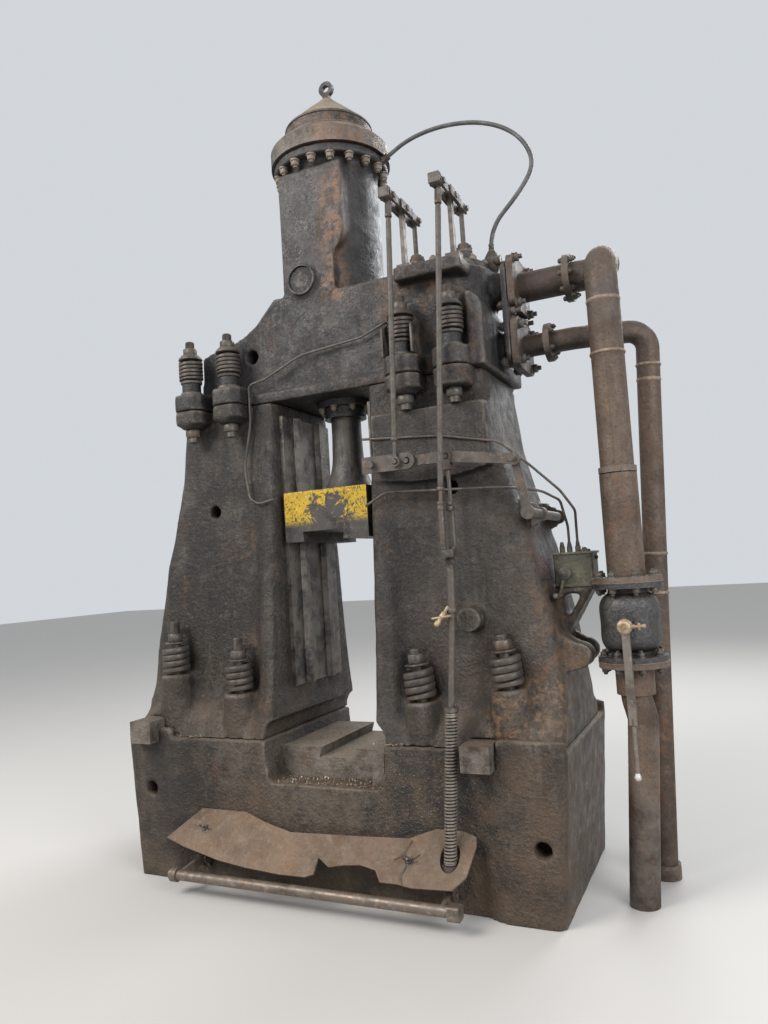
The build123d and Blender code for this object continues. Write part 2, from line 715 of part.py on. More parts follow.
# Head casting: yoke, cylinder and valve chest
with BuildPart() as cylinder_block:
    with BuildSketch(Plane.XZ.offset(-YOKE_HALF_DEPTH)):
        with BuildLine():
            Polyline(
                (CYLINDER_R, YOKE_CREST),
                (YOKE_HALF, YOKE_SHOULDER),
                (COLUMN_TOP_OUTER - 20, YOKE_SHOULDER - 60),
                (COLUMN_TOP_OUTER, COLUMN_TOP + LUG_THICKNESS),
                (COLUMN_TOP_OUTER, COLUMN_TOP),
                (-COLUMN_TOP_OUTER, COLUMN_TOP),
                (-COLUMN_TOP_OUTER, COLUMN_TOP + LUG_THICKNESS),
                (-YOKE_HALF + 10, COLUMN_TOP + LUG_THICKNESS + 20),
                (-YOKE_HALF + 25, YOKE_SHOULDER - 25),
                (-YOKE_HALF + 90, YOKE_SHOULDER),
            )
            Spline(
                (-YOKE_HALF + 90, YOKE_SHOULDER),
                (-430, YOKE_SHOULDER + 62),
                (-CYLINDER_R, YOKE_CREST + 55),
            )
            Line((-CYLINDER_R, YOKE_CREST + 55), (CYLINDER_R, YOKE_CREST))
        make_face()
    extrude(amount=2 * YOKE_HALF_DEPTH)
    with BuildSketch(Plane.XY.offset(COLUMN_TOP)):
        Rectangle(2 * (HEAD_BOLT_INNER_X - 90), 2 * BAND_FRONT)
    extrude(amount=BAND_HEIGHT)
    with BuildSketch(Plane.XY.offset(COLUMN_TOP)):
        for side in (-1, 1):
            for face in (-1, 1):
                for x in (HEAD_BOLT_INNER_X, HEAD_BOLT_OUTER_X):
                    Polygon(
                        (side * (x - 88), face * 200),
                        (side * (x - 88), face * (LUG_FRONT - 40)),
                        (side * (x - 50), face * LUG_FRONT),
                        (side * (x + 50), face * LUG_FRONT),
                        (side * (x + 88), face * (LUG_FRONT - 40)),
                        (side * (x + 88), face * 200),
                        align=None,
                    )
    extrude(amount=LUG_THICKNESS)
    with BuildSketch(Plane.XY.offset(COLUMN_TOP)):
        with Locations((HEAD_BOLT_OUTER_X, -HEAD_BOLT_Y), (HEAD_BOLT_OUTER_X, HEAD_BOLT_Y)):
            Circle(ROUND_LUG_R)
    extrude(amount=LUG_THICKNESS)
    with BuildSketch(Plane.XY.offset(COLUMN_TOP)):
        Circle(CYLINDER_FOOT_R)
    with BuildSketch(Plane.XY.offset(CYLINDER_TOP)):
        Circle(CYLINDER_R)
    loft()
    with BuildSketch(Plane.XY.offset(CYLINDER_TOP - TOP_FLANGE_HEIGHT)):
        Circle(TOP_FLANGE_R)
    extrude(amount=TOP_FLANGE_HEIGHT)
    # Flat pad on the cylinder's front down to the yoke, narrower below, and a round boss on it
    with BuildSketch(Plane.XZ):
        with BuildLine():
            Polyline(
                (PAD_WAIST_X, PAD_WAIST_Z),
                (PAD_WAIST_X, YOKE_SHOULDER),
                (-PAD_HALF, YOKE_SHOULDER),
                (-PAD_HALF, PAD_TOP),
                (PAD_HALF, PAD_TOP),
                (PAD_HALF, PAD_BOTTOM + 70),
            )
            Spline(
                (PAD_HALF, PAD_BOTTOM + 70),
                (PAD_HALF - 22, PAD_BOTTOM),
                (PAD_WAIST_X, PAD_WAIST_Z),
                tangents=((0, -1), (-0.2, -1)),
            )
        make_face()
    extrude(amount=PAD_FRONT)
    with BuildSketch(Plane.XZ):
        with Locations((ROUND_BOSS_X, ROUND_BOSS_Z)):
            Circle(ROUND_BOSS_R)
    extrude(amount=ROUND_BOSS_FRONT)
    with BuildSketch(Plane.XY.offset(COLUMN_TOP + 20)):
        with Locations((CHEST_X, CHEST_Y)):
            Circle(CHEST_R)
        with Locations((CHEST_X / 2, CHEST_Y)):
            Rectangle(CHEST_X, 2 * CHEST_R)
    extrude(amount=CHEST_TOP - COLUMN_TOP - 20)
    with BuildSketch(Plane.XY.offset(CHEST_TOP - SHELF_THICK)):
        with Locations((CHEST_X, CHEST_Y - CHEST_R)):
            Rectangle(2 * SHELF_HALF, 2 * SHELF_REACH)
    extrude(amount=SHELF_THICK)
    # Arched rib around the right end's outer bolt, front and back
    with BuildSketch(Plane.XZ.offset(-ARCH_FRONT)):
        with BuildLine():
            Polyline((ARCH_OUTER, COLUMN_TOP), (ARCH_OUTER, ARCH_TOP - 90))
            ThreePointArc(
                (ARCH_OUTER, ARCH_TOP - 90),
                (ARCH_OUTER - 45, ARCH_TOP - 20),
                (HEAD_BOLT_OUTER_X - 20, ARCH_TOP),
            )
            Polyline(
                (HEAD_BOLT_OUTER_X - 20, ARCH_TOP),
                (HEAD_BOLT_OUTER_X - 60, ARCH_TOP - 20),
                (HEAD_BOLT_OUTER_X - 60, COLUMN_TOP),
                (ARCH_OUTER, COLUMN_TOP),
            )
        make_face()
    extrude(amount=2 * ARCH_FRONT)
    for face in (-1, 1):
        with BuildSketch(Plane.XY.offset(COLUMN_TOP + LUG_THICKNESS)):
            with Locations((HEAD_BOLT_OUTER_X, face * HEAD_BOLT_Y)):
                Circle(HEAD_SPRING_R + 14)
        extrude(amount=ARCH_TOP - COLUMN_TOP, mode=Mode.SUBTRACT)
    for z in (UPPER_BARREL_Z, LOWER_BARREL_Z):
        with BuildSketch(Plane.YZ.offset(CHEST_X)):
            with Locations((0, z)):
                Circle(BARREL_R)
        extrude(amount=BARREL_END_X - CHEST_X)
    with BuildSketch(Plane.YZ.offset(BARREL_END_X - FLANGE_THICK)):
        with Locations((0, (UPPER_BARREL_Z + LOWER_BARREL_Z) / 2)):
            RectangleRounded(300, UPPER_BARREL_Z - LOWER_BARREL_Z + 220, 60)
    extrude(amount=FLANGE_THICK)
    with BuildSketch(Plane.XY.offset(BORE_FLOOR)):
        Circle(BORE_R)
    extrude(amount=CYLINDER_TOP - BORE_FLOOR, mode=Mode.SUBTRACT)
    with BuildSketch(Plane.XY.offset(COLUMN_TOP)):
        Circle(ROD_R + 25)
    extrude(amount=BORE_FLOOR - COLUMN_TOP, mode=Mode.SUBTRACT)
    with BuildSketch(Plane.XY.offset(COLUMN_TOP)):
        for side in (-1, 1):
            for face in (-1, 1):
                for x in (HEAD_BOLT_INNER_X, HEAD_BOLT_OUTER_X):
                    with Locations((side * x, face * HEAD_BOLT_Y)):
                        Circle(BOLT_R + FIT_GAP)
    extrude(amount=LUG_THICKNESS, mode=Mode.SUBTRACT)
    with BuildSketch(Plane.XZ.offset(YOKE_HALF_DEPTH)):
        for x, z in ((-405, 2665), (-575, 2655)):
            with Locations((x, z)):
                Circle(CORE_HOLE_R + 3)
    extrude(amount=-CORE_HOLE_DEPTH, mode=Mode.SUBTRACT)
save(cylinder_block.part, "cylinder_block")

with BuildPart() as cylinder_cover:
    with BuildSketch(Plane.XZ):
        with BuildLine():
            Polyline(
                (0, CYLINDER_TOP),
                (COVER_R, CYLINDER_TOP),
                (COVER_R, CYLINDER_TOP + COVER_SKIRT),
            )
            Spline(
                (COVER_R, CYLINDER_TOP + COVER_SKIRT),
                (COVER_R - 40, CYLINDER_TOP + COVER_SKIRT + 38),
                (COVER_DRUM_R + 4, CYLINDER_TOP + COVER_SKIRT + 62),
            )
            Polyline(
                (COVER_DRUM_R + 4, CYLINDER_TOP + COVER_SKIRT + 62),
                (COVER_DRUM_R, COVER_DRUM_TOP),
                (COVER_CONE_R, COVER_CONE_TOP),
                (COVER_CONE_R - 12, COVER_NOSE_TOP),
                (0, COVER_NOSE_TOP),
                (0, CYLINDER_TOP),
            )
        make_face()
    revolve(axis=Axis.Z)
save(cylinder_cover.part, "cylinder_cover")

with BuildPart() as lifting_eye:
    with BuildSketch(Plane.XY.offset(COVER_NOSE_TOP)):
        Circle(32)
    extrude(amount=20)
    with BuildSketch(Plane.XZ.offset(-EYE_BAR_R)):
        with Locations((0, COVER_NOSE_TOP + 84)):
            Circle(EYE_R)
            Circle(EYE_R - 22, mode=Mode.SUBTRACT)
        with Locations((0, COVER_NOSE_TOP + 30)):
            Rectangle(40, 36)
    extrude(amount=2 * EYE_BAR_R)
save(lifting_eye.part, "lifting_eye")

with BuildPart() as rod_gland:
    with BuildSketch(Plane.XY.offset(COLUMN_TOP - 34)):
        Circle(GLAND_R)
    extrude(amount=34)
    with BuildSketch(Plane.XY.offset(COLUMN_TOP - GLAND_DROP)):
        Circle(GLAND_SLEEVE_R)
    extrude(amount=GLAND_DROP)
    with BuildSketch(Plane.XY.offset(COLUMN_TOP - GLAND_DROP)):
        Circle(ROD_R + 5)
    extrude(amount=GLAND_DROP, mode=Mode.SUBTRACT)
save(rod_gland.part, "rod_gland")


def foot_spring(place, lean):
    """Add one stack of flat-wire turns on a seat, on a leaning axis, to the piece being built."""
    pitch = FOOT_SPRING_LENGTH / SPRING_TURNS
    with BuildSketch(bolt_plane(place, lean, 0)) as core:
        Circle(SPRING_R - SPRING_GROOVE)
        Circle(SPRING_BORE_R, mode=Mode.SUBTRACT)
    extrude(core.sketch, amount=FOOT_SPRING_LENGTH)
    for turn in range(SPRING_TURNS):
        with BuildSketch(bolt_plane(place, lean, -turn * pitch - pitch * 0.1)) as ring:
            Circle(SPRING_R)
            Circle(SPRING_BORE_R, mode=Mode.SUBTRACT)
        extrude(ring.sketch, amount=pitch * 0.78)


def stud(place, lean, drop, length, stub):
    """Add one stud with a washer and a nut above its spring to the piece being built."""
    with BuildSketch(bolt_plane(place, lean, drop)) as shank:
        Circle(BOLT_R)
    extrude(shank.sketch, amount=drop + length + 8 + BOLT_NUT_HEIGHT + stub)
    with BuildSketch(bolt_plane(place, lean, -length)) as washer:
        Circle(SPRING_R - 14)
    extrude(washer.sketch, amount=8)
    with BuildSketch(bolt_plane(place, lean, -length - 8)) as nut:
        RegularPolygon(BOLT_NUT_R, 6)
    extrude(nut.sketch, amount=BOLT_NUT_HEIGHT)


head_foot = COLUMN_TOP + LUG_THICKNESS
head_span = LUG_THICKNESS + LUG_DROP + 22
both_sides = ((-1, 0, BOLT_STUB), (1, RIGHT_LEAN, RIGHT_BOLT_STUB))
head = [
    (side * x, face * HEAD_BOLT_Y)
    for side in (-1, 1)
    for x in (HEAD_BOLT_INNER_X, HEAD_BOLT_OUTER_X)
    for face in (-1, 1)
]

with BuildPart() as foot_springs:
    for side, lean, stub in both_sides:
        for place in foot_bolts(side):
            foot_spring(place, lean)
save(foot_springs.part, "foot_springs")

with BuildPart() as foot_studs:
    for side, lean, stub in both_sides:
        for place in foot_bolts(side):
            stud(place, lean, place[2] - ANVIL_HEIGHT - 8, FOOT_SPRING_LENGTH, stub)
save(foot_studs.part, "foot_bolts")

# Head springs: a spacer sleeve below and the coil on it
head_pitch = HEAD_COIL / HEAD_TURNS
with BuildPart() as head_springs:
    with BuildSketch(Plane.XY.offset(head_foot)):
        with Locations(*head):
            Circle(HEAD_SLEEVE_R)
            Circle(BOLT_R + 4, mode=Mode.SUBTRACT)
    extrude(amount=HEAD_SLEEVE)
    with BuildSketch(Plane.XY.offset(head_foot + HEAD_SLEEVE)):
        with Locations(*head):
            Circle(HEAD_SPRING_R - 8)
            Circle(BOLT_R + 4, mode=Mode.SUBTRACT)
    extrude(amount=HEAD_COIL)
    for turn in range(HEAD_TURNS):
        with BuildSketch(Plane.XY.offset(head_foot + HEAD_SLEEVE + (turn + 0.12) * head_pitch)):
            with Locations(*head):
                Circle(HEAD_SPRING_R)
                Circle(BOLT_R + 4, mode=Mode.SUBTRACT)
        extrude(amount=head_pitch * 0.76)
save(head_springs.part, "head_springs")

# Head bolts, with a domed cap on the coil, a nut above and a nut below the lugs
cap_foot = head_foot + HEAD_SLEEVE + HEAD_COIL
shank_foot = head_foot - head_span - BOLT_NUT_HEIGHT - 14
with BuildPart() as head_bolts:
    with BuildSketch(Plane.XY.offset(shank_foot)):
        with Locations(*head):
            Circle(BOLT_R)
    extrude(amount=cap_foot + HEAD_CAP + BOLT_NUT_HEIGHT + 34 - shank_foot)
    with BuildSketch(Plane.XY.offset(head_foot - head_span - BOLT_NUT_HEIGHT)):
        with Locations(*head):
            RegularPolygon(BOLT_NUT_R, 6)
    extrude(amount=BOLT_NUT_HEIGHT)
    with BuildSketch(Plane.XY.offset(cap_foot)):
        with Locations(*head):
            Circle(HEAD_SPRING_R)
    extrude(amount=HEAD_CAP, taper=18)
    with BuildSketch(Plane.XY.offset(cap_foot + HEAD_CAP)):
        with Locations(*head):
            RegularPolygon(BOLT_NUT_R - 4, 6)
    extrude(amount=BOLT_NUT_HEIGHT)
save(head_bolts.part, "head_bolts")

# Hoods around the right inner head springs, with a peaked back and open in front and above
with BuildPart() as spring_hoods:
    for face in (-1, 1):
        with BuildSketch(Plane.XZ.offset(-face * HOOD_BACK)):
            Polygon(
                (HEAD_BOLT_INNER_X - HOOD_HALF, HOOD_FOOT),
                (HEAD_BOLT_INNER_X + HOOD_HALF, HOOD_FOOT),
                (HEAD_BOLT_INNER_X + HOOD_HALF, HOOD_EAVES - 30),
                (HEAD_BOLT_INNER_X - 8, HOOD_PEAK),
                (HEAD_BOLT_INNER_X - HOOD_HALF, HOOD_EAVES),
                align=None,
            )
        extrude(amount=-face * (HOOD_FRONT - HOOD_BACK))
        with BuildSketch(Plane.XZ.offset(-face * (HOOD_BACK + HOOD_WALL))):
            with Locations((HEAD_BOLT_INNER_X, (HOOD_FOOT + HOOD_PEAK) / 2)):
                Rectangle(2 * (HOOD_HALF - HOOD_WALL), HOOD_PEAK - HOOD_FOOT)
        extrude(amount=-face * (HOOD_FRONT - HOOD_BACK), mode=Mode.SUBTRACT)
        # The slanting tops of the side walls, lower towards the front
        with BuildSketch(Plane.YZ.offset(HEAD_BOLT_INNER_X - HOOD_HALF)):
            Polygon(
                (face * (HOOD_BACK + HOOD_WALL), HOOD_EAVES),
                (face * (HOOD_BACK + HOOD_WALL), HOOD_PEAK),
                (face * (HOOD_FRONT + 1), HOOD_PEAK),
                (face * (HOOD_FRONT + 1), HOOD_EAVES - 70),
                align=None,
            )
        extrude(amount=2 * HOOD_HALF, mode=Mode.SUBTRACT)
save(spring_hoods.part, "spring_hoods")

# Cover of the valve chest, with a boss for each stem
with BuildPart() as chest_cover:
    with BuildSketch(Plane.XY.offset(CHEST_TOP)):
        with Locations((CHEST_X, CHEST_Y)):
            Circle(CHEST_R - 15)
    extrude(amount=28)
    with BuildSketch(Plane.XY.offset(CHEST_TOP + 28)):
        for x in (STEM_A_X, STEM_B_X):
            with Locations((x, -STEM_Y)):
                Circle(38)
    extrude(amount=50)
    with BuildSketch(Plane.XY.offset(CHEST_TOP)):
        for x in (STEM_A_X, STEM_B_X):
            with Locations((x, -STEM_Y)):
                Circle(12 + PIN_GAP)
    extrude(amount=78, mode=Mode.SUBTRACT)
save(chest_cover.part, "chest_cover")


def stem(x):
    """A valve stem with a flat eye at its top."""
    with BuildPart() as body:
        with BuildSketch(Plane.XY.offset(CHEST_TOP + 2)):
            with Locations((x, -STEM_Y)):
                Circle(12)
        extrude(amount=ROCKER_Z - CHEST_TOP - 30)
        with BuildSketch(Plane.YZ.offset(x - 8)):
            with Locations((-STEM_Y, ROCKER_Z)):
                Circle(24)
                Circle(PIN_R + 4, mode=Mode.SUBTRACT)
            with Locations((-STEM_Y, ROCKER_Z - 34)):
                Rectangle(24, 24)
        extrude(amount=16)
    return body.part


save(stem(STEM_A_X), "slide_valve_stem")
save(stem(STEM_B_X), "throttle_valve_stem")


def rocker(x, front_y):
    """A rocker from the pull rod, over its fulcrum, to the valve stem."""
    with BuildPart() as body:
        for offset in (12, -24):
            with BuildSketch(Plane.YZ.offset(x + offset)):
                with BuildLine():
                    Polyline(
                        (-front_y - 22, ROCKER_Z - 20),
                        (-STEM_Y + 22, ROCKER_Z - 20),
                        (-STEM_Y + 22, ROCKER_Z + 20),
                        (-front_y - 22, ROCKER_Z + 20),
                        close=True,
                    )
                make_face()
                with Locations((-FULCRUM_Y, ROCKER_Z)):
                    Circle(PIN_R + PIN_GAP, mode=Mode.SUBTRACT)
            extrude(amount=12)
        for y in (front_y, STEM_Y):
            with BuildSketch(Plane.YZ.offset(x - 24)):
                with Locations((-y, ROCKER_Z)):
                    Circle(PIN_R)
            extrude(amount=48)
        for offset in (-12, 8 + COLLAR_GAP):
            with BuildSketch(Plane.YZ.offset(x + offset)):
                with Locations((-front_y, ROCKER_Z)):
                    Circle(COLLAR_R)
            extrude(amount=4 - COLLAR_GAP)
    return body.part


save(rocker(STEM_A_X, GEAR_Y), "slide_rocker")
save(rocker(STEM_B_X, GEAR_Y), "throttle_rocker")


# Posts on the yoke that carry the two rockers on pins
with BuildPart() as rocker_fulcrums:
    for x in (STEM_A_X, STEM_B_X):
        with BuildSketch(Plane.XY.offset(CHEST_TOP)):
            with Locations((x, -FULCRUM_Y)):
                Rectangle(20, 34)
        extrude(amount=ROCKER_Z + 22 - CHEST_TOP)
        with BuildSketch(Plane.YZ.offset(x - 30)):
            with Locations((-FULCRUM_Y, ROCKER_Z)):
                Circle(PIN_R)
        extrude(amount=60)
        with BuildSketch(Plane.XY.offset(CHEST_TOP)):
            with Locations((x, -FULCRUM_Y)):
                Rectangle(70, FULCRUM_FOOT)
        extrude(amount=20)
save(rocker_fulcrums.part, "rocker_fulcrums")


def eye(plane_offset, centre, radius, hole, thickness):
    """Add a round eye in a plane of constant X to the piece being built."""
    with BuildSketch(Plane.YZ.offset(plane_offset - thickness / 2)) as disc:
        with Locations(centre):
            Circle(radius)
    extrude(disc.sketch, amount=thickness)
    with BuildSketch(Plane.YZ.offset(plane_offset - thickness / 2)) as bore:
        with Locations(centre):
            Circle(hole)
    extrude(bore.sketch, amount=thickness, mode=Mode.SUBTRACT)


# The first pull rod, from the short bar up to the slide valve's rocker
rod_foot_y = GEAR_Y + BAR_THICK + 4
with BuildPart() as slide_pull_rod:
    rod_between(
        (FIRST_ROD_X, -rod_foot_y, LINK_Z + 20),
        (STEM_A_X, -GEAR_Y, ROCKER_Z - 18),
        ROD_R_THIN,
    )
    eye(STEM_A_X, (-GEAR_Y, ROCKER_Z), 24, PIN_R + OPEN_PIVOT_GAP, 16)
    with BuildSketch(Plane.XZ.offset(rod_foot_y - 7)):
        with Locations((FIRST_ROD_X, LINK_Z)):
            Circle(24)
    extrude(amount=14)
    with BuildSketch(Plane.XZ.offset(rod_foot_y - 7)):
        with Locations((FIRST_ROD_X, LINK_Z)):
            Circle(PIN_R + OPEN_PIVOT_GAP)
    extrude(amount=14, mode=Mode.SUBTRACT)
save(slide_pull_rod.part, "slide_pull_rod")

# The short bar that lifts the first pull rod
with BuildPart() as short_bar:
    with BuildSketch(Plane.XZ.offset(GEAR_Y - BAR_THICK / 2)):
        with Locations(((BAR_PIVOT_X + BAR_END_X) / 2, LINK_Z)):
            Rectangle(BAR_END_X - BAR_PIVOT_X, 2 * BAR_HALF)
        with Locations((BAR_PIVOT_X - 20, LINK_Z)):
            Rectangle(60, 2 * BAR_HALF)
        with Locations((BAR_END_X, LINK_Z)):
            Circle(BAR_HALF)
        with Locations((BAR_PIVOT_X, LINK_Z)):
            Circle(PIN_R + PIN_GAP, mode=Mode.SUBTRACT)
        with Locations((BAR_END_X, LINK_Z)):
            Circle(PIN_R + END_PIVOT_GAP, mode=Mode.SUBTRACT)
    extrude(amount=BAR_THICK)
    with BuildSketch(Plane.XZ.offset(GEAR_Y + BAR_THICK / 2)):
        with Locations((FIRST_ROD_X, LINK_Z)):
            Circle(PIN_R)
    extrude(amount=28)
save(short_bar.part, "short_bar")

# The long floating lever behind the short bar
lever_front = GEAR_Y - BAR_THICK / 2 - 3
with BuildPart() as floating_lever:
    with BuildSketch(Plane.XZ.offset(lever_front - LEVER_THICK)):
        Polygon(
            (BAR_END_X, LINK_Z + 22),
            (BAR_END_X, LINK_Z - 22),
            (CLEVIS_X, LINK_Z - 26),
            (FIXED_PIVOT_X, FIXED_PIVOT_Z - 22),
            (FIXED_PIVOT_X, FIXED_PIVOT_Z + 22),
            (CLEVIS_X, LINK_Z + 26),
            align=None,
        )
        with Locations((BAR_END_X, LINK_Z), (FIXED_PIVOT_X, FIXED_PIVOT_Z)):
            Circle(28)
        with Locations((FIXED_PIVOT_X, FIXED_PIVOT_Z)):
            Circle(PIN_R + PIN_GAP, mode=Mode.SUBTRACT)
    extrude(amount=LEVER_THICK)
    with BuildSketch(Plane.XZ.offset(lever_front)):
        with Locations((BAR_END_X, LINK_Z)):
            Circle(PIN_R)
    extrude(amount=3 + BAR_THICK + 8)
    with BuildSketch(Plane.XZ.offset(lever_front - LEVER_THICK - 16)):
        with Locations((CLEVIS_X, LINK_Z)):
            Circle(PIN_R)
    extrude(amount=LEVER_THICK + 32)
save(floating_lever.part, "floating_lever")

# Bracket on the right column that the short bar turns on
with BuildPart() as bar_bracket:
    with BuildSketch(Plane.XZ.offset(PAD_Y)):
        with Locations((BAR_PIVOT_X, LINK_Z)):
            Circle(34)
    extrude(amount=GEAR_Y - BAR_THICK / 2 - 2 - PAD_Y)
    with BuildSketch(Plane.XZ.offset(PAD_Y)):
        with Locations((BAR_PIVOT_X, LINK_Z)):
            Circle(PIN_R)
    extrude(amount=GEAR_Y + 22 - PAD_Y)
save(bar_bracket.part, "bar_bracket")

# Cross shaft on the column's side, with the link that holds the lever's far end
with BuildPart() as cross_shaft:
    with BuildSketch(Plane.XZ.offset(-260)):
        with Locations((SHAFT_X, SHAFT_Z)):
            Circle(22)
    extrude(amount=260 + lever_front - 20)
    for y in (-SHAFT_BRACKET_Y, SHAFT_BRACKET_Y):
        with BuildSketch(Plane.XZ.offset(-y - 15)):
            Polygon(
                (SHAFT_FLAT_X, SHAFT_Z - 60),
                (SHAFT_X, SHAFT_Z - 34),
                (SHAFT_X, SHAFT_Z + 34),
                (SHAFT_FLAT_X, SHAFT_Z + 60),
                align=None,
            )
            with Locations((SHAFT_X, SHAFT_Z)):
                Circle(34)
        extrude(amount=30)
    with BuildSketch(Plane.XZ.offset(lever_front - LEVER_THICK - 18)):
        Polygon(
            (SHAFT_X - 20, SHAFT_Z),
            (SHAFT_X + 20, SHAFT_Z),
            (FIXED_PIVOT_X + 18, FIXED_PIVOT_Z),
            (FIXED_PIVOT_X - 18, FIXED_PIVOT_Z),
            align=None,
        )
        with Locations((FIXED_PIVOT_X, FIXED_PIVOT_Z)):
            Circle(24)
        with Locations((SHAFT_X, SHAFT_Z)):
            Circle(30)
    extrude(amount=16)
    with BuildSketch(Plane.XZ.offset(lever_front - LEVER_THICK - 18)):
        with Locations((FIXED_PIVOT_X, FIXED_PIVOT_Z)):
            Circle(PIN_R)
    extrude(amount=LEVER_THICK + 26)
save(cross_shaft.part, "cross_shaft")


def on_pull_rod(z):
    """The point of the lower pull rod's axis at one height."""
    part_way = (ROD_HEAD[2] - z) / (ROD_HEAD[2] - ROD_FOOT_Z)
    x = ROD_HEAD[0] + part_way * (TREADLE_ARM_X - ROD_HEAD[0])
    y = ROD_HEAD[1] + part_way * (-ROD_FOOT_Y - ROD_HEAD[1])
    return (x, y, z)


# The pull rod from the treadle, which branches to the lever and to the throttle rocker
lever_middle = lever_front - LEVER_THICK / 2
with BuildPart() as pull_rod:
    rod_between(
        (STEM_B_X, -GEAR_Y, ROCKER_Z - 18),
        (BUCKLE_A_X, -THROTTLE_ROD_Y, BUCKLE_TOP - 10),
        ROD_R_THIN,
    )
    eye(STEM_B_X, (-GEAR_Y, ROCKER_Z), 24, PIN_R + OPEN_PIVOT_GAP, 16)
    rod_between(
        (BUCKLE_A_X, -THROTTLE_ROD_Y, BUCKLE_TOP),
        (BUCKLE_A_X, -THROTTLE_ROD_Y, BUCKLE_FOOT),
        BUCKLE_R,
    )
    rod_between(
        (CLEVIS_X, -lever_middle, LINK_Z - 40),
        (BUCKLE_B_X, -lever_middle, BUCKLE_TOP - 10),
        ROD_R_THIN,
    )
    rod_between(
        (BUCKLE_B_X, -lever_middle, BUCKLE_TOP),
        (BUCKLE_B_X, -lever_middle, BUCKLE_FOOT),
        BUCKLE_R,
    )
    with BuildSketch(Plane.XY.offset(BUCKLE_FOOT - 25)):
        with Locations((SOCKET_X, -(THROTTLE_ROD_Y + lever_middle) / 2)):
            RectangleRounded(BUCKLE_B_X - BUCKLE_A_X + 42, THROTTLE_ROD_Y - lever_middle + 36, 12)
    extrude(amount=34)
    rod_between((SOCKET_X, -GEAR_Y, BUCKLE_FOOT - 20), on_pull_rod(ROD_HEAD[2] - 5), SOCKET_R)
    rod_between(ROD_HEAD, on_pull_rod(ROD_FOOT_Z), PULL_ROD_R)
    with BuildSketch(Plane.XY.offset(SPRING_TOP)):
        with Locations(on_pull_rod(SPRING_TOP)[:2]):
            Circle(32)
    extrude(amount=18)
    for offset in (lever_front - LEVER_THICK - 13, lever_front + 3):
        with BuildSketch(Plane.XZ.offset(offset)):
            with Locations((CLEVIS_X, LINK_Z)):
                Circle(26)
            with Locations((CLEVIS_X, LINK_Z - 34)):
                Rectangle(36, 40)
        extrude(amount=10)
        with BuildSketch(Plane.XZ.offset(offset)):
            with Locations((CLEVIS_X, LINK_Z)):
                Circle(PIN_R + OPEN_PIVOT_GAP)
        extrude(amount=10, mode=Mode.SUBTRACT)
    with BuildSketch(Plane.XY.offset(LINK_Z - 60)):
        with Locations((CLEVIS_X, -lever_middle)):
            Rectangle(36, LEVER_THICK + 26)
    extrude(amount=20)
    for side in (-1, 1):
        with BuildSketch(Plane.YZ.offset(TREADLE_ARM_X + side * 20 - 6)):
            with Locations((-ROD_FOOT_Y, TREADLE_PIVOT_Z)):
                Circle(24)
            with Locations((-ROD_FOOT_Y, TREADLE_PIVOT_Z + FORK_BRIDGE / 2)):
                Rectangle(36, FORK_BRIDGE)
        extrude(amount=12)
        with BuildSketch(Plane.YZ.offset(TREADLE_ARM_X + side * 20 - 6)):
            with Locations((-ROD_FOOT_Y, TREADLE_PIVOT_Z)):
                Circle(PIN_R + OPEN_PIVOT_GAP)
        extrude(amount=12, mode=Mode.SUBTRACT)
    with BuildSketch(Plane.XY.offset(TREADLE_PIVOT_Z + FORK_BRIDGE)):
        with Locations((TREADLE_ARM_X, -ROD_FOOT_Y)):
            Rectangle(52, 36)
    extrude(amount=20)
save(pull_rod.part, "pull_rod")

# The return spring on the pull rod, above the treadle's cover
with BuildPart() as return_spring:
    spring_foot = on_pull_rod(SPRING_FOOT)
    spring_head = on_pull_rod(SPRING_TOP)
    with BuildSketch(Plane.XY.offset(SPRING_FOOT)):
        with Locations(spring_foot[:2]):
            Circle(SPRING_OUTER_R)
            Circle(SPRING_INNER_R, mode=Mode.SUBTRACT)
    with BuildSketch(Plane.XY.offset(SPRING_TOP)):
        with Locations(spring_head[:2]):
            Circle(SPRING_OUTER_R)
            Circle(SPRING_INNER_R, mode=Mode.SUBTRACT)
    loft(ruled=True)
save(return_spring.part, "return_spring")

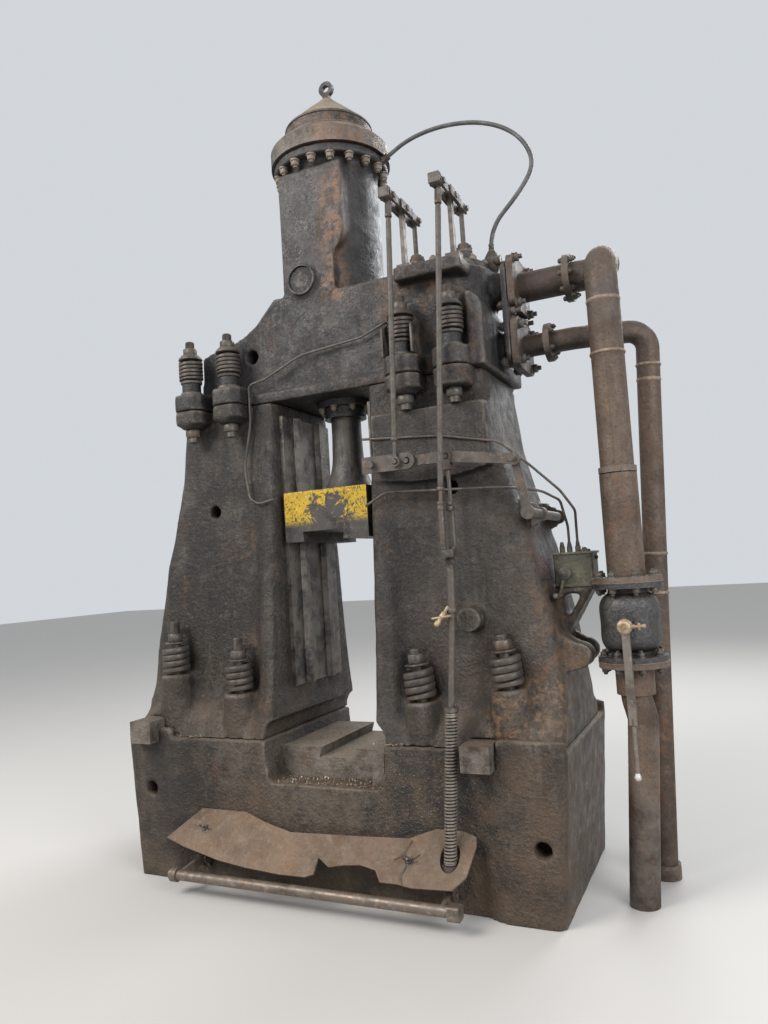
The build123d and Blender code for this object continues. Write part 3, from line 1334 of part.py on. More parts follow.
# The treadle, a tube on two arms
with BuildPart() as treadle:
    with BuildSketch(Plane.YZ.offset(TREADLE_LEFT_X)):
        with Locations((-TREADLE_TUBE_Y, TREADLE_TUBE_Z)):
            Circle(TREADLE_TUBE_R)
    extrude(amount=TREADLE_RIGHT_X - TREADLE_LEFT_X)
    with BuildSketch(Plane.YZ.offset(TREADLE_LEFT_X + 12)):
        with Locations((-TREADLE_TUBE_Y, TREADLE_TUBE_Z)):
            Circle(TREADLE_TUBE_R + 9)
    extrude(amount=34)
    with BuildSketch(Plane.YZ.offset(TREADLE_RIGHT_X - 52)):
        with Locations((-TREADLE_TUBE_Y, TREADLE_TUBE_Z)):
            RectangleRounded(60, 60, 12)
    extrude(amount=52)
    for x in (TREADLE_LEFT_ARM_X, TREADLE_ARM_X):
        with BuildSketch(Plane.YZ.offset(x - 9)):
            Polygon(
                (-TREADLE_PIVOT_Y, TREADLE_PIVOT_Z - PIVOT_EYE_R + 2),
                (-TREADLE_PIVOT_Y, TREADLE_PIVOT_Z + PIVOT_EYE_R - 2),
                (-TREADLE_TUBE_Y, TREADLE_TUBE_Z + 20),
                (-TREADLE_TUBE_Y, TREADLE_TUBE_Z - 20),
                align=None,
            )
            with Locations((-TREADLE_PIVOT_Y, TREADLE_PIVOT_Z)):
                Circle(PIVOT_EYE_R)
        extrude(amount=18)
        with BuildSketch(Plane.YZ.offset(x - 9)):
            with Locations((-TREADLE_PIVOT_Y, TREADLE_PIVOT_Z)):
                Circle(PIN_R + PIN_GAP)
        extrude(amount=18, mode=Mode.SUBTRACT)
    with BuildSketch(Plane.YZ.offset(TREADLE_ARM_X - 30)):
        with Locations((-ROD_FOOT_Y, TREADLE_PIVOT_Z)):
            Circle(PIN_R)
    extrude(amount=60)
save(treadle.part, "treadle")

# Brackets on the anvil that the treadle's arms turn in
with BuildPart() as treadle_brackets:
    for x in (TREADLE_LEFT_ARM_X, TREADLE_ARM_X):
        for offset in (-28, 14):
            with BuildSketch(Plane.YZ.offset(x + offset)):
                Polygon(
                    (-ANVIL_MIDDLE_FRONT, 60),
                    (-TREADLE_PIVOT_Y, TREADLE_PIVOT_Z - PIVOT_EYE_R),
                    (-TREADLE_PIVOT_Y, TREADLE_PIVOT_Z + PIVOT_EYE_R),
                    (-ANVIL_MIDDLE_FRONT, 175),
                    align=None,
                )
                with Locations((-TREADLE_PIVOT_Y, TREADLE_PIVOT_Z)):
                    Circle(PIVOT_EYE_R)
            extrude(amount=14)
        with BuildSketch(Plane.YZ.offset(x - 34)):
            with Locations((-TREADLE_PIVOT_Y, TREADLE_PIVOT_Z)):
                Circle(PIN_R)
        extrude(amount=68)
save(treadle_brackets.part, "treadle_brackets")

# Bracket on the anvil that the return spring stands on
with BuildPart() as spring_seat:
    with BuildSketch(Plane.XY.offset(SPRING_FOOT - SEAT_THICK)):
        with Locations((spring_foot[0], (spring_foot[1] - ANVIL_MIDDLE_FRONT) / 2)):
            Rectangle(70, -spring_foot[1] - ANVIL_MIDDLE_FRONT)
        with Locations(spring_foot[:2]):
            Circle(35)
            Circle(PULL_ROD_R + 4, mode=Mode.SUBTRACT)
    extrude(amount=SEAT_THICK)
save(spring_seat.part, "spring_seat")

# The cover plate that leans on the anvil above the treadle, with its torn front edge
cover_run = hypot(1, COVER_PLATE_SLOPE)
cover_plane = Plane(
    origin=(0, -ANVIL_MIDDLE_FRONT, COVER_PLATE_BACK_Z),
    x_dir=(1, 0, 0),
    z_dir=(0, -COVER_PLATE_SLOPE / cover_run, 1 / cover_run),
)
COVER_OUTLINE = (
    (-705, 0), (-850, -162), (-733, -195), (-501, -240), (-331, -258), (-154, -268),
    (-20, -266), (23, -250), (23, -174), (87, -212), (157, -196), (239, -187),
    (316, -201), (348, -248), (427, -247), (499, -256), (675, -247), (728, -190),
    (752, -60), (745, -18), (690, 0), (560, 0), (440, -52), (298, -59),
    (103, -67), (-159, -76), (-315, -41), (-440, 0),
)
with BuildPart() as treadle_cover:
    with BuildSketch(cover_plane):
        Polygon(*COVER_OUTLINE, align=None)
    extrude(amount=COVER_PLATE_THICK)
    with BuildSketch(Plane.XY.offset(SPRING_FOOT - 60)):
        with Locations(spring_foot[:2]):
            Circle(SPRING_HOLE_R)
    extrude(amount=160, mode=Mode.SUBTRACT)
save(treadle_cover.part, "treadle_cover")

# Square keys that lock the columns on the anvil
with BuildPart() as column_keys:
    for place in (LEFT_KEY, RIGHT_KEY):
        with BuildSketch(Plane.XZ.offset(KEY_BACK)):
            with Locations(place):
                Rectangle(KEY_WIDTH, KEY_HEIGHT)
        extrude(amount=KEY_FRONT - KEY_BACK)
save(column_keys.part, "column_keys")


def pipe_flange(x, z, radius, thickness):
    """Add a round flange across a pipe along X."""
    with BuildSketch(Plane.YZ.offset(x)) as disc:
        with Locations((0, z)):
            Circle(radius)
    extrude(disc.sketch, amount=thickness)


def riser_flange(x, y, z, radius, thickness):
    """Add a round flange across an upright pipe."""
    with BuildSketch(Plane.XY.offset(z)) as disc:
        with Locations((x, y)):
            Circle(radius)
    extrude(disc.sketch, amount=thickness)


# Inlet pipe from the chest to the riser's elbows, down to the stop valve
with BuildPart() as inlet_pipe:
    with BuildSketch(Plane.YZ.offset(BARREL_END_X)):
        with Locations((0, UPPER_BARREL_Z)):
            RectangleRounded(300, 260, 50)
    extrude(amount=FLANGE_THICK)
    tube_route(
        [
            (BARREL_END_X, 0, INLET_Z),
            (RISER_X, 0, INLET_Z),
            (RISER_X, RISER_Y, INLET_Z),
            (RISER_X, RISER_Y, VALVE_TOP_Z),
        ],
        INLET_PIPE_R,
        [88, 88],
    )
    pipe_flange(1225, INLET_Z, 112, 30)
    riser_flange(RISER_X, RISER_Y, 1850, INLET_PIPE_R + 9, 26)
    riser_flange(RISER_X, RISER_Y, VALVE_TOP_Z, INLET_PIPE_R + 8, 470)
    riser_flange(RISER_X, RISER_Y, VALVE_TOP_Z, VALVE_FLANGE_R, 24)
save(inlet_pipe.part, "inlet_pipe")

with BuildPart() as stop_valve_body:
    with BuildSketch(Plane.XZ):
        with BuildLine():
            Polyline(
                (0, VALVE_BOTTOM_Z),
                (VALVE_FLANGE_R, VALVE_BOTTOM_Z),
                (VALVE_FLANGE_R, VALVE_BOTTOM_Z + 24),
                (88, VALVE_BOTTOM_Z + 26),
                (92, VALVE_BOTTOM_Z + 42),
            )
            Spline(
                (92, VALVE_BOTTOM_Z + 42),
                (VALVE_BODY_R - 8, VALVE_BOTTOM_Z + 66),
                (VALVE_BODY_R, VALVE_CENTRE_Z),
                (VALVE_BODY_R - 8, VALVE_TOP_Z - 74),
                (86, VALVE_TOP_Z - 46),
            )
            Polyline(
                (86, VALVE_TOP_Z - 46),
                (82, VALVE_TOP_Z - 26),
                (VALVE_FLANGE_R, VALVE_TOP_Z - 24),
                (VALVE_FLANGE_R, VALVE_TOP_Z),
                (0, VALVE_TOP_Z),
                (0, VALVE_BOTTOM_Z),
            )
        make_face()
    revolve(axis=Axis.Z)
    with BuildSketch(Plane.XZ):
        with Locations((0, VALVE_CENTRE_Z)):
            Circle(36)
    extrude(amount=VALVE_FLANGE_R + 8)
    with BuildSketch(Plane.XZ.offset(VALVE_FLANGE_R + 8)):
        with Locations((0, VALVE_CENTRE_Z)):
            Circle(14)
    extrude(amount=42)
stop_valve_body.part.position = (RISER_X, RISER_Y, 0)
save(stop_valve_body.part, "stop_valve_body")

lever_face = VALVE_FLANGE_R + 10 - RISER_Y
with BuildPart() as stop_valve_lever:
    with BuildSketch(Plane.XZ.offset(lever_face)):
        with Locations((RISER_X, VALVE_CENTRE_Z)):
            Circle(30)
        with Locations((RISER_X, VALVE_CENTRE_Z - 205)):
            Rectangle(31, 390)
    extrude(amount=24)
    with BuildSketch(Plane.XZ.offset(lever_face)):
        with Locations((RISER_X, VALVE_CENTRE_Z)):
            Circle(14 + PIN_GAP)
    extrude(amount=24, mode=Mode.SUBTRACT)
    with BuildSketch(Plane.XY.offset(VALVE_CENTRE_Z - 605)):
        with Locations((RISER_X, -lever_face - 12)):
            Circle(9)
    extrude(amount=220)
save(stop_valve_lever.part, "stop_valve_lever")

with BuildPart() as supply_pipe:
    riser_flange(RISER_X, RISER_Y, VALVE_BOTTOM_Z - 24, VALVE_FLANGE_R, 24)
    riser_flange(RISER_X, RISER_Y, VALVE_BOTTOM_Z - 140, 80, 120)
    tube_route(
        [
            (RISER_X, RISER_Y, VALVE_BOTTOM_Z - 20),
            (RISER_X, RISER_Y, JOG_Z + 30),
            (RISER_X + 16, RISER_Y + 25, JOG_Z - 60),
            (SUPPLY_FOOT[0], SUPPLY_FOOT[1], -10),
        ],
        LOWER_PIPE_R,
        [90, 90],
    )
    # The leaning pipe is cut level with the floor
    with BuildSketch(Plane.XY):
        with Locations(SUPPLY_FOOT):
            Circle(2 * LOWER_PIPE_R)
    extrude(amount=-LOWER_PIPE_R, mode=Mode.SUBTRACT)
save(supply_pipe.part, "supply_pipe")

with BuildPart() as exhaust_pipe:
    with BuildSketch(Plane.YZ.offset(BARREL_END_X)):
        with Locations((0, LOWER_BARREL_Z)):
            RectangleRounded(300, 250, 50)
    extrude(amount=FLANGE_THICK)
    tube_route(
        [
            (BARREL_END_X, 0, LOWER_BARREL_Z),
            (1250, 0, LOWER_BARREL_Z),
            (EXHAUST_TOP[0], EXHAUST_TOP[1], LOWER_BARREL_Z + 8),
            (EXHAUST_FOOT[0], EXHAUST_FOOT[1], 60),
        ],
        EXHAUST_PIPE_R,
        [200, 85],
    )
    riser_flange(EXHAUST_FOOT[0], EXHAUST_FOOT[1], 0, EXHAUST_PIPE_R + 12, 66)
    pipe_flange(1110, LOWER_BARREL_Z, 92, 28)
save(exhaust_pipe.part, "exhaust_pipe")

# Lubricator on the column's side bracket, with a crank and its outlets on top
with BuildPart() as lubricator:
    with BuildSketch(Plane.XY.offset(LUBE_FOOT)):
        with Locations(((LUBE_LEFT + LUBE_RIGHT) / 2, -(LUBE_FRONT + LUBE_BACK) / 2)):
            RectangleRounded(LUBE_RIGHT - LUBE_LEFT, LUBE_FRONT - LUBE_BACK, 12)
    extrude(amount=LUBE_TOP - LUBE_FOOT - 10)
    with BuildSketch(Plane.XY.offset(LUBE_TOP - 10)):
        with Locations(((LUBE_LEFT + LUBE_RIGHT) / 2, -(LUBE_FRONT + LUBE_BACK) / 2)):
            Rectangle(LUBE_RIGHT - LUBE_LEFT + 12, LUBE_FRONT - LUBE_BACK + 14)
    extrude(amount=10)
    with BuildSketch(Plane.XY.offset(LUBE_TOP)):
        for x, y in OIL_OUTLETS:
            with Locations((x, y)):
                RegularPolygon(13, 6)
    extrude(amount=26)
    with BuildSketch(Plane.XZ.offset(LUBE_FRONT)):
        with Locations((LUBE_LEFT + 52, LUBE_FOOT + 62)):
            Circle(30)
    extrude(amount=26)
    crank_hub = (LUBE_LEFT + 52, -LUBE_FRONT - 18, LUBE_FOOT + 62)
    crank_end = (LUBE_LEFT + 24, -LUBE_FRONT - 18, LUBE_FOOT - 34)
    rod_between(crank_hub, crank_end, 9)
    rod_between(crank_end, (crank_end[0], crank_end[1] - 50, crank_end[2]), 11)
save(lubricator.part, "lubricator")

# Oil pipes: two across the right column, one across the yoke and down the left column
with BuildPart() as oil_pipes:
    for route, bends in OIL_ROUTES:
        tube_route(route, OIL_PIPE_R, bends)
save(oil_pipes.part, "oil_pipes")

# Fittings of the hose, on the upper barrel and on the cylinder's flange
with BuildPart() as hose_fittings:
    with BuildSketch(Plane.XZ):
        Polygon(
            (HOSE_X, UPPER_BARREL_Z + BARREL_R - 12),
            (HOSE_X + 26, UPPER_BARREL_Z + BARREL_R - 12),
            (HOSE_X + 26, UPPER_BARREL_Z + BARREL_R + 12),
            (HOSE_X + 46, UPPER_BARREL_Z + BARREL_R + 70),
            (HOSE_X + 34, UPPER_BARREL_Z + BARREL_R + 96),
            (HOSE_X + 17, HOSE_FOOT),
            (HOSE_X, HOSE_FOOT),
            align=None,
        )
    revolve(axis=Axis((HOSE_X, 0, 0), (0, 0, 1)))
    rod_between(HOSE_ROUTE[-1], HOSE_SOCKET, 19)
    add(cylinder_block.part, mode=Mode.SUBTRACT)
    add(chest_cover.part, mode=Mode.SUBTRACT)
save(hose_fittings.part, "hose_fittings")

with BuildPart() as hose:
    tube_route(HOSE_ROUTE, HOSE_R, HOSE_BENDS)
save(hose.part, "hose")
print("hose radii", [round(radius) for radius in HOSE_BENDS])
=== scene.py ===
from math import cos, pi, radians, sin

import bmesh
import bpy
from mathutils import Matrix, Vector


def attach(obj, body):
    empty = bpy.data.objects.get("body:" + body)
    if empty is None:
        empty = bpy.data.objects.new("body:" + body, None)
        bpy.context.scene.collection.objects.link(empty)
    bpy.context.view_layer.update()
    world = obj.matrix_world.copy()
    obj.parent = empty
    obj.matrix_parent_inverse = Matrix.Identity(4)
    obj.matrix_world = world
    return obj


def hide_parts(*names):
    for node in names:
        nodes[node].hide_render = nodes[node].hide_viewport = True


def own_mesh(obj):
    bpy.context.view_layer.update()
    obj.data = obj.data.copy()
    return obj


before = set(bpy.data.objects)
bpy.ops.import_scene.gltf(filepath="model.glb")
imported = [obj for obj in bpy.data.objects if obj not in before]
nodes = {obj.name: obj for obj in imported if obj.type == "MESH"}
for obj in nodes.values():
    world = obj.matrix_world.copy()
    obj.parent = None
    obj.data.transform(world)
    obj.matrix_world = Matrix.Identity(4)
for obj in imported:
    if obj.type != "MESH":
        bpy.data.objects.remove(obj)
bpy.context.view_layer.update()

scene = bpy.context.scene
scene.view_settings.view_transform = "Standard"


# Camera at the photograph's viewing angle
def add_camera():
    place = Vector((1.879, -3.659, 1.5))
    turn, tilt, roll = radians(24.765), radians(4.163), radians(3.614)
    forward = Vector((-sin(turn) * cos(tilt), cos(turn) * cos(tilt), sin(tilt)))
    right = Vector((cos(turn), sin(turn), 0))
    up = right.cross(forward)
    across = right * cos(roll) - up * sin(roll)
    upward = right * sin(roll) + up * cos(roll)
    data = bpy.data.cameras.new("camera")
    data.sensor_fit = "VERTICAL"
    data.sensor_height = 36
    data.lens = 27.07
    data.clip_start = 0.05
    data.clip_end = 60
    camera = bpy.data.objects.new("camera", data)
    scene.collection.objects.link(camera)
    camera.matrix_world = Matrix((
        (across.x, upward.x, -forward.x, place.x),
        (across.y, upward.y, -forward.y, place.y),
        (across.z, upward.z, -forward.z, place.z),
        (0, 0, 0, 1),
    ))
    scene.camera = camera


add_camera()


# The hose is declared first; its material and clamps follow
HOSE_POINTS = ((0.872, 0, 3.045), (0.872, 0, 3.158), (1.032, 0, 3.300), (1.120, 0, 3.425), (1.077, 0, 3.560),
               (0.972, 0, 3.665), (0.822, 0, 3.735), (0.632, 0, 3.765), (0.462, 0, 3.745), (0.350, 0, 3.690),
               (0.298, 0, 3.66446))


def add_hose():
    data = bpy.data.curves.new("rubber_hose", "CURVE")
    data.dimensions = "3D"
    line = data.splines.new("NURBS")
    line.points.add(len(HOSE_POINTS) - 1)
    for point, place in zip(line.points, HOSE_POINTS):
        point.co = (*place, 1)
        point.radius = 0.011
    line.order_u = 3
    line.use_endpoint_u = True
    line.resolution_u = 12
    data.bevel_depth = 1.0
    data.bevel_resolution = 5
    data.use_fill_caps = True
    piece = bpy.data.objects.new("rubber_hose", data)
    scene.collection.objects.link(piece)
    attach(piece, "frame")
    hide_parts("hose")
    return piece


hose = add_hose()


# Materials. Each is a stack of procedural layers; places are in metres of the shared frame.
class Layers:
    """Builds one material: a colour, a roughness and a height, from named layers."""

    def __init__(self, name, colour, metallic=0.0, specular=0.5):
        self.material = bpy.data.materials.new(name)
        self.material.use_nodes = True
        self.tree = self.material.node_tree
        self.shader = self.tree.nodes["Principled BSDF"]
        self.shader.inputs["Metallic"].default_value = metallic
        self.shader.inputs["Specular IOR Level"].default_value = specular
        self.place = self.tree.nodes.new("ShaderNodeTexCoord").outputs["Object"]
        rgb = self.tree.nodes.new("ShaderNodeRGB")
        rgb.outputs[0].default_value = (*colour, 1)
        self.colour = rgb.outputs[0]
        self.rough = None
        self.height = None

    def node(self, kind, **values):
        made = self.tree.nodes.new(kind)
        for key, value in values.items():
            setattr(made, key, value)
        return made

    def link(self, output, socket):
        self.tree.links.new(output, socket)

    def stretched(self, scale):
        mapping = self.node("ShaderNodeMapping")
        mapping.inputs["Scale"].default_value = scale
        self.link(self.place, mapping.inputs["Vector"])
        return mapping.outputs["Vector"]

    def noise(self, scale, detail=5, rough=0.6, distortion=0.0, stretch=None):
        made = self.node("ShaderNodeTexNoise")
        made.inputs["Scale"].default_value = scale
        made.inputs["Detail"].default_value = detail
        made.inputs["Roughness"].default_value = rough
        made.inputs["Distortion"].default_value = distortion
        self.link(self.stretched(stretch) if stretch else self.place, made.inputs["Vector"])
        return made.outputs["Fac"]

    def cells(self, scale):
        made = self.node("ShaderNodeTexVoronoi", feature="F1")
        made.inputs["Scale"].default_value = scale
        self.link(self.place, made.inputs["Vector"])
        return made.outputs["Distance"]

    def remap(self, value, low, high, to_low=0.0, to_high=1.0):
        made = self.node("ShaderNodeMapRange", interpolation_type="SMOOTHSTEP")
        made.inputs["From Min"].default_value = low
        made.inputs["From Max"].default_value = high
        made.inputs["To Min"].default_value = to_low
        made.inputs["To Max"].default_value = to_high
        self.link(value, made.inputs["Value"])
        return made.outputs["Result"]

    def times(self, a, b):
        return self.math("MULTIPLY", a, b)

    def math(self, operation, a, b):
        made = self.node("ShaderNodeMath", operation=operation)
        for socket, value in zip(made.inputs, (a, b)):
            if isinstance(value, (int, float)):
                socket.default_value = value
            else:
                self.link(value, socket)
        return made.outputs[0]

    def axis(self, name, of_normal=False):
        made = self.node("ShaderNodeSeparateXYZ")
        if of_normal:
            source = self.node("ShaderNodeNewGeometry").outputs["Normal"]
        else:
            source = self.place
        self.link(source, made.inputs[0])
        return made.outputs[name]

    def edges(self, low, high):
        point = self.node("ShaderNodeNewGeometry").outputs["Pointiness"]
        return self.remap(point, low, high)

    def within(self, low, high, soft=0.05):
        """1 inside a box of the shared frame, with soft edges."""
        mask = None
        for name, a, b in zip("XYZ", low, high):
            value = self.axis(name)
            for part in (self.remap(value, a - soft, a + soft), self.remap(value, b + soft, b - soft)):
                mask = part if mask is None else self.times(mask, part)
        return mask

    def patches(self, places):
        """Local colours: two box corners, colour, amount, grain, and the noise level where it starts."""
        for low, high, colour, amount, grain, least in places:
            broken = self.remap(self.noise(grain, 8, 0.72, 0.15), least, least + 0.2)
            self.tint(self.times(self.within(low, high), broken), colour, amount)

    def tint(self, factor, colour, amount=1.0):
        mix = self.node("ShaderNodeMix", data_type="RGBA")
        self.link(self.times(factor, amount), mix.inputs["Factor"])
        self.link(self.colour, mix.inputs[6])
        mix.inputs[7].default_value = (*colour, 1)
        self.colour = mix.outputs[2]

    def roughen(self, low, high, scale=14):
        self.rough = self.remap(self.noise(scale, 6, 0.65), 0.3, 0.7, low, high)

    def raise_by(self, value, amount):
        part = self.times(value, amount)
        self.height = part if self.height is None else self.math("ADD", self.height, part)

    def done(self, strength=0.6):
        self.link(self.colour, self.shader.inputs["Base Color"])
        if self.rough is not None:
            self.link(self.rough, self.shader.inputs["Roughness"])
        if self.height is not None:
            bump = self.node("ShaderNodeBump")
            bump.inputs["Strength"].default_value = strength
            bump.inputs["Distance"].default_value = 1.0
            self.link(self.height, bump.inputs["Height"])
            self.link(bump.outputs["Normal"], self.shader.inputs["Normal"])
        return self.material


def weathered(name, dark, mid, light, rust=0.3, dust=0.5, streak=0.4, wear=0.5, rough=(0.42, 0.75),
              metallic=0.2, bump=1.0, brown_foot=0.0, dust_colour=(0.13, 0.09, 0.058), grain=1.0, painted_underside_shade=0.75,
              dents=0, places=()):
    """Oily, dusty iron, with worn edges, rust and runs of dirt, and painted shade on faces turned downwards.
    """
    m = Layers(name, mid, metallic, 0.45)
    m.tint(m.remap(m.noise(2.1, 7, 0.62, 0.4), 0.42, 0.62), dark, 0.9)
    m.tint(m.remap(m.noise(6.5, 8, 0.7, 0.6), 0.5, 0.72), light, 0.6)
    m.tint(m.remap(m.noise(1.0, 6, 0.7, 0.3, stretch=(13, 13, 1.1)), 0.48, 0.64), dark, streak)
    m.tint(m.remap(m.noise(0.9, 7, 0.75, 0.5, stretch=(31, 31, 2.2)), 0.55, 0.7), light, streak * 0.6)
    m.tint(m.remap(m.noise(48, 6, 0.78), 0.52, 0.68), light, 0.5 * grain)
    m.tint(m.remap(m.noise(75, 4, 0.65), 0.53, 0.66), dark, 0.75 * grain)
    if rust:
        patches = m.times(m.remap(m.noise(3.3, 8, 0.72, 0.8), 0.52, 0.66),
                          m.remap(m.noise(30, 5, 0.7), 0.4, 0.62))
        m.tint(patches, (0.17, 0.07, 0.028), rust)
    if brown_foot:
        low = m.times(m.remap(m.axis("Z"), brown_foot, 0.0), m.remap(m.noise(4, 7, 0.7), 0.3, 0.65))
        m.tint(low, dust_colour, 0.6)
    m.patches(places)
    if wear:
        m.tint(m.times(m.edges(0.515, 0.56), m.remap(m.noise(11, 6, 0.7), 0.36, 0.6)), (0.21, 0.18, 0.15),
               wear)
        m.tint(m.edges(0.485, 0.44), dark, 0.6)
    if dust:
        top = m.times(m.remap(m.axis("Z", True), 0.45, 0.85), m.remap(m.noise(7, 7, 0.7), 0.25, 0.6))
        m.tint(top, dust_colour, dust)
    # Painted shade: faces that point downwards are darkened towards near-black.
    if painted_underside_shade:
        m.tint(m.remap(m.axis("Z", True), -0.35, -0.85), (0.012, 0.0105, 0.0095), painted_underside_shade)
    m.roughen(*rough)
    m.raise_by(m.noise(150, 4, 0.7), 0.0016 * bump)
    m.raise_by(m.noise(34, 7, 0.7), 0.009 * bump)
    m.raise_by(m.remap(m.noise(62, 4, 0.6), 0.46, 0.62), 0.0022 * bump)
    m.raise_by(m.remap(m.cells(55), 0.0, 0.35), 0.0009 * bump)
    if dents:
        m.raise_by(m.noise(9, 3, 0.5, 0.4), dents)
    return m.done()


def steel(name, mid, dark, light, rough=(0.3, 0.5), metallic=0.75, rust=0.2, bump=0.5, scale=1.0):
    """Machined or rolled steel that is handled and oily."""
    m = Layers(name, mid, metallic, 0.5)
    m.tint(m.remap(m.noise(9 * scale, 7, 0.68, 0.5), 0.45, 0.68), dark, 0.8)
    m.tint(m.remap(m.noise(38 * scale, 6, 0.7), 0.5, 0.7), light, 0.6)
    if rust:
        m.tint(m.remap(m.noise(15 * scale, 8, 0.75, 0.7), 0.54, 0.66), (0.2, 0.085, 0.035), rust)
    m.tint(m.remap(m.axis("Z", True), 0.5, 0.9), (0.12, 0.09, 0.065), 0.35)
    m.roughen(*rough, scale=30)
    m.raise_by(m.noise(210, 4, 0.7), 0.0008 * bump)
    m.raise_by(m.noise(60, 5, 0.6), 0.0016 * bump)
    return m.done()


# Colours of bright flakes and of dark pits in the castings
FLAKES = (0.5, 0.42, 0.33)
PITS = (0.012, 0.010, 0.009)

HEAD = weathered("head_iron", (0.013, 0.0122, 0.0122), (0.04, 0.037, 0.0365), (0.092, 0.084, 0.079),
                 rust=0.25, dust=0.55, streak=0.5, rough=(0.34, 0.66))
BLOCK = weathered("cylinder_iron", (0.013, 0.0122, 0.0122), (0.042, 0.039, 0.0385), (0.096, 0.088, 0.083),
                  rust=0.25, dust=0.6, streak=0.7, rough=(0.34, 0.66), places=(
    ((0.06, -0.36, 2.85), (0.19, -0.2, 3.56), (0.19, 0.105, 0.06), 0.8, 21, 0.4),
    ((-0.2, -0.36, 3.0), (0.1, -0.2, 3.6), (0.085, 0.075, 0.07), 0.55, 7, 0.42),
    ((-0.2, -0.36, 2.45), (0.35, -0.2, 2.85), (0.095, 0.085, 0.077), 0.5, 9, 0.43),
    ((0.35, -0.4, 2.3), (0.9, -0.2, 3.0), (0.13, 0.078, 0.045), 0.6, 13, 0.45),
    ((0.7, -0.4, 2.9), (0.95, 0.2, 3.1), (0.16, 0.09, 0.05), 0.6, 17, 0.45),
    ((-0.9, -0.5, 2.2), (-0.3, 0.5, 2.6), (0.016, 0.014, 0.013), 0.5, 12, 0.45),
    ((-0.5, -0.5, 2.5), (0.9, -0.2, 3.3), (0.3, 0.25, 0.21), 0.5, 140, 0.585)))
COVER = weathered("cover_iron", (0.018, 0.0155, 0.014), (0.06, 0.049, 0.041), (0.13, 0.106, 0.086), rust=0.4,
                  dust=0.85, dust_colour=(0.26, 0.2, 0.145), streak=0.5, places=(
    ((-0.3, -0.3, 3.79), (0.3, 0.3, 3.92), (0.14, 0.088, 0.056), 0.8, 15, 0.4),
    ((0.05, -0.34, 3.64), (0.34, 0.1, 3.8), (0.2, 0.1, 0.052), 0.8, 13, 0.4),
    ((-0.3, -0.3, 3.79), (0.3, 0.3, 3.92), (0.4, 0.33, 0.26), 0.8, 70, 0.57)))
CONE = weathered("cone_iron", (0.13, 0.095, 0.068), (0.25, 0.195, 0.145), (0.36, 0.3, 0.235), rust=0.5,
                 dust=0.4, dust_colour=(0.33, 0.26, 0.19), streak=0.6, bump=0.7, painted_underside_shade=0)
COLUMN = weathered("column_iron", (0.014, 0.0118, 0.0102), (0.051, 0.042, 0.035), (0.12, 0.099, 0.08),
                   rust=0.3, dust=0.75, brown_foot=1.7, bump=1.6, wear=0.6, streak=0.7, rough=(0.34, 0.68),
                   grain=1.15, places=(
    ((-0.82, -0.6, 0.9), (-0.5, -0.25, 1.75), PITS, 0.9, 46, 0.43),
    ((-0.82, -0.6, 0.9), (-0.5, -0.25, 1.7), (0.2, 0.17, 0.14), 0.8, 120, 0.575),
    ((1.02, -0.6, 0.9), (1.4, 0.0, 2.3), (0.15, 0.085, 0.048), 0.7, 14, 0.43),
    ((0.8, -0.6, 0.72), (1.2, -0.2, 1.0), (0.2, 0.12, 0.07), 0.7, 24, 0.44),
    ((0.3, -0.6, 0.7), (0.8, -0.3, 2.3), (0.022, 0.0195, 0.018), 0.65, 6, 0.4),
    ((0.55, -0.6, 0.7), (1.3, -0.2, 1.5), FLAKES, 0.6, 150, 0.575),
    ((-1.2, -0.6, 1.7), (-0.3, -0.2, 2.5), (0.024, 0.0215, 0.02), 0.6, 5, 0.42)))
ANVIL = weathered("anvil_iron", (0.014, 0.011, 0.009), (0.052, 0.041, 0.032), (0.13, 0.104, 0.08), rust=0.3,
                  dust=0.9, brown_foot=1.0, bump=2.0, wear=0.6, streak=0.7, rough=(0.34, 0.68), grain=1.2,
                  places=(((0.35, -0.7, 0.22), (0.95, -0.3, 0.72), (0.02, 0.0175, 0.016), 0.85, 9, 0.38),
                          ((-1.2, -0.7, 0.1), (-0.72, -0.3, 0.72), (0.021, 0.018, 0.016), 0.75, 5, 0.4),
                          ((0.3, -0.7, 0.25), (0.88, -0.3, 0.68), FLAKES, 1.0, 130, 0.55),
                          ((-0.72, -0.7, 0.1), (0.4, -0.3, 0.72), (0.3, 0.25, 0.2), 0.8, 120, 0.57),
                          ((-0.3, -0.7, 0.3), (0.3, -0.3, 0.52), (0.12, 0.098, 0.077), 0.6, 14, 0.42),
                          ((0.75, -0.7, 0.0), (1.3, 0.6, 0.7), (0.1, 0.064, 0.04), 0.7, 7, 0.43),
                          ((-0.7, -0.7, 0.45), (-0.3, -0.3, 0.7), (0.1, 0.082, 0.066), 0.7, 12, 0.42)))
KEY = weathered("key_iron", (0.03, 0.022, 0.017), (0.085, 0.064, 0.05), (0.15, 0.12, 0.095), rust=0.4,
                dust=0.8, bump=1.2, wear=0.6)
DIE = weathered("die_holder_iron", (0.04, 0.032, 0.026), (0.105, 0.084, 0.066), (0.23, 0.19, 0.15), rust=0.3,
                dust=0.8, bump=1.2, wear=0.8, dust_colour=(0.2, 0.15, 0.1))
GUIDE = weathered("guide_iron", (0.02, 0.019, 0.018), (0.07, 0.065, 0.06), (0.165, 0.152, 0.138), rust=0.1,
                  dust=0.3, streak=0.8, rough=(0.32, 0.55), metallic=0.5, bump=0.5, wear=0.7)
PIPE = weathered("pipe_iron", (0.045, 0.031, 0.023), (0.108, 0.072, 0.05), (0.18, 0.132, 0.098), rust=0.75,
                 dust=0.4, streak=0.35, bump=0.6, wear=0.3, rough=(0.42, 0.75), places=(
    ((1.2, -0.4, 2.5), (1.7, 0.4, 3.1), (0.075, 0.063, 0.053), 0.7, 5, 0.4),
    ((1.2, -0.4, 0.0), (1.7, 0.4, 0.45), (0.04, 0.029, 0.022), 0.75, 5, 0.4)))
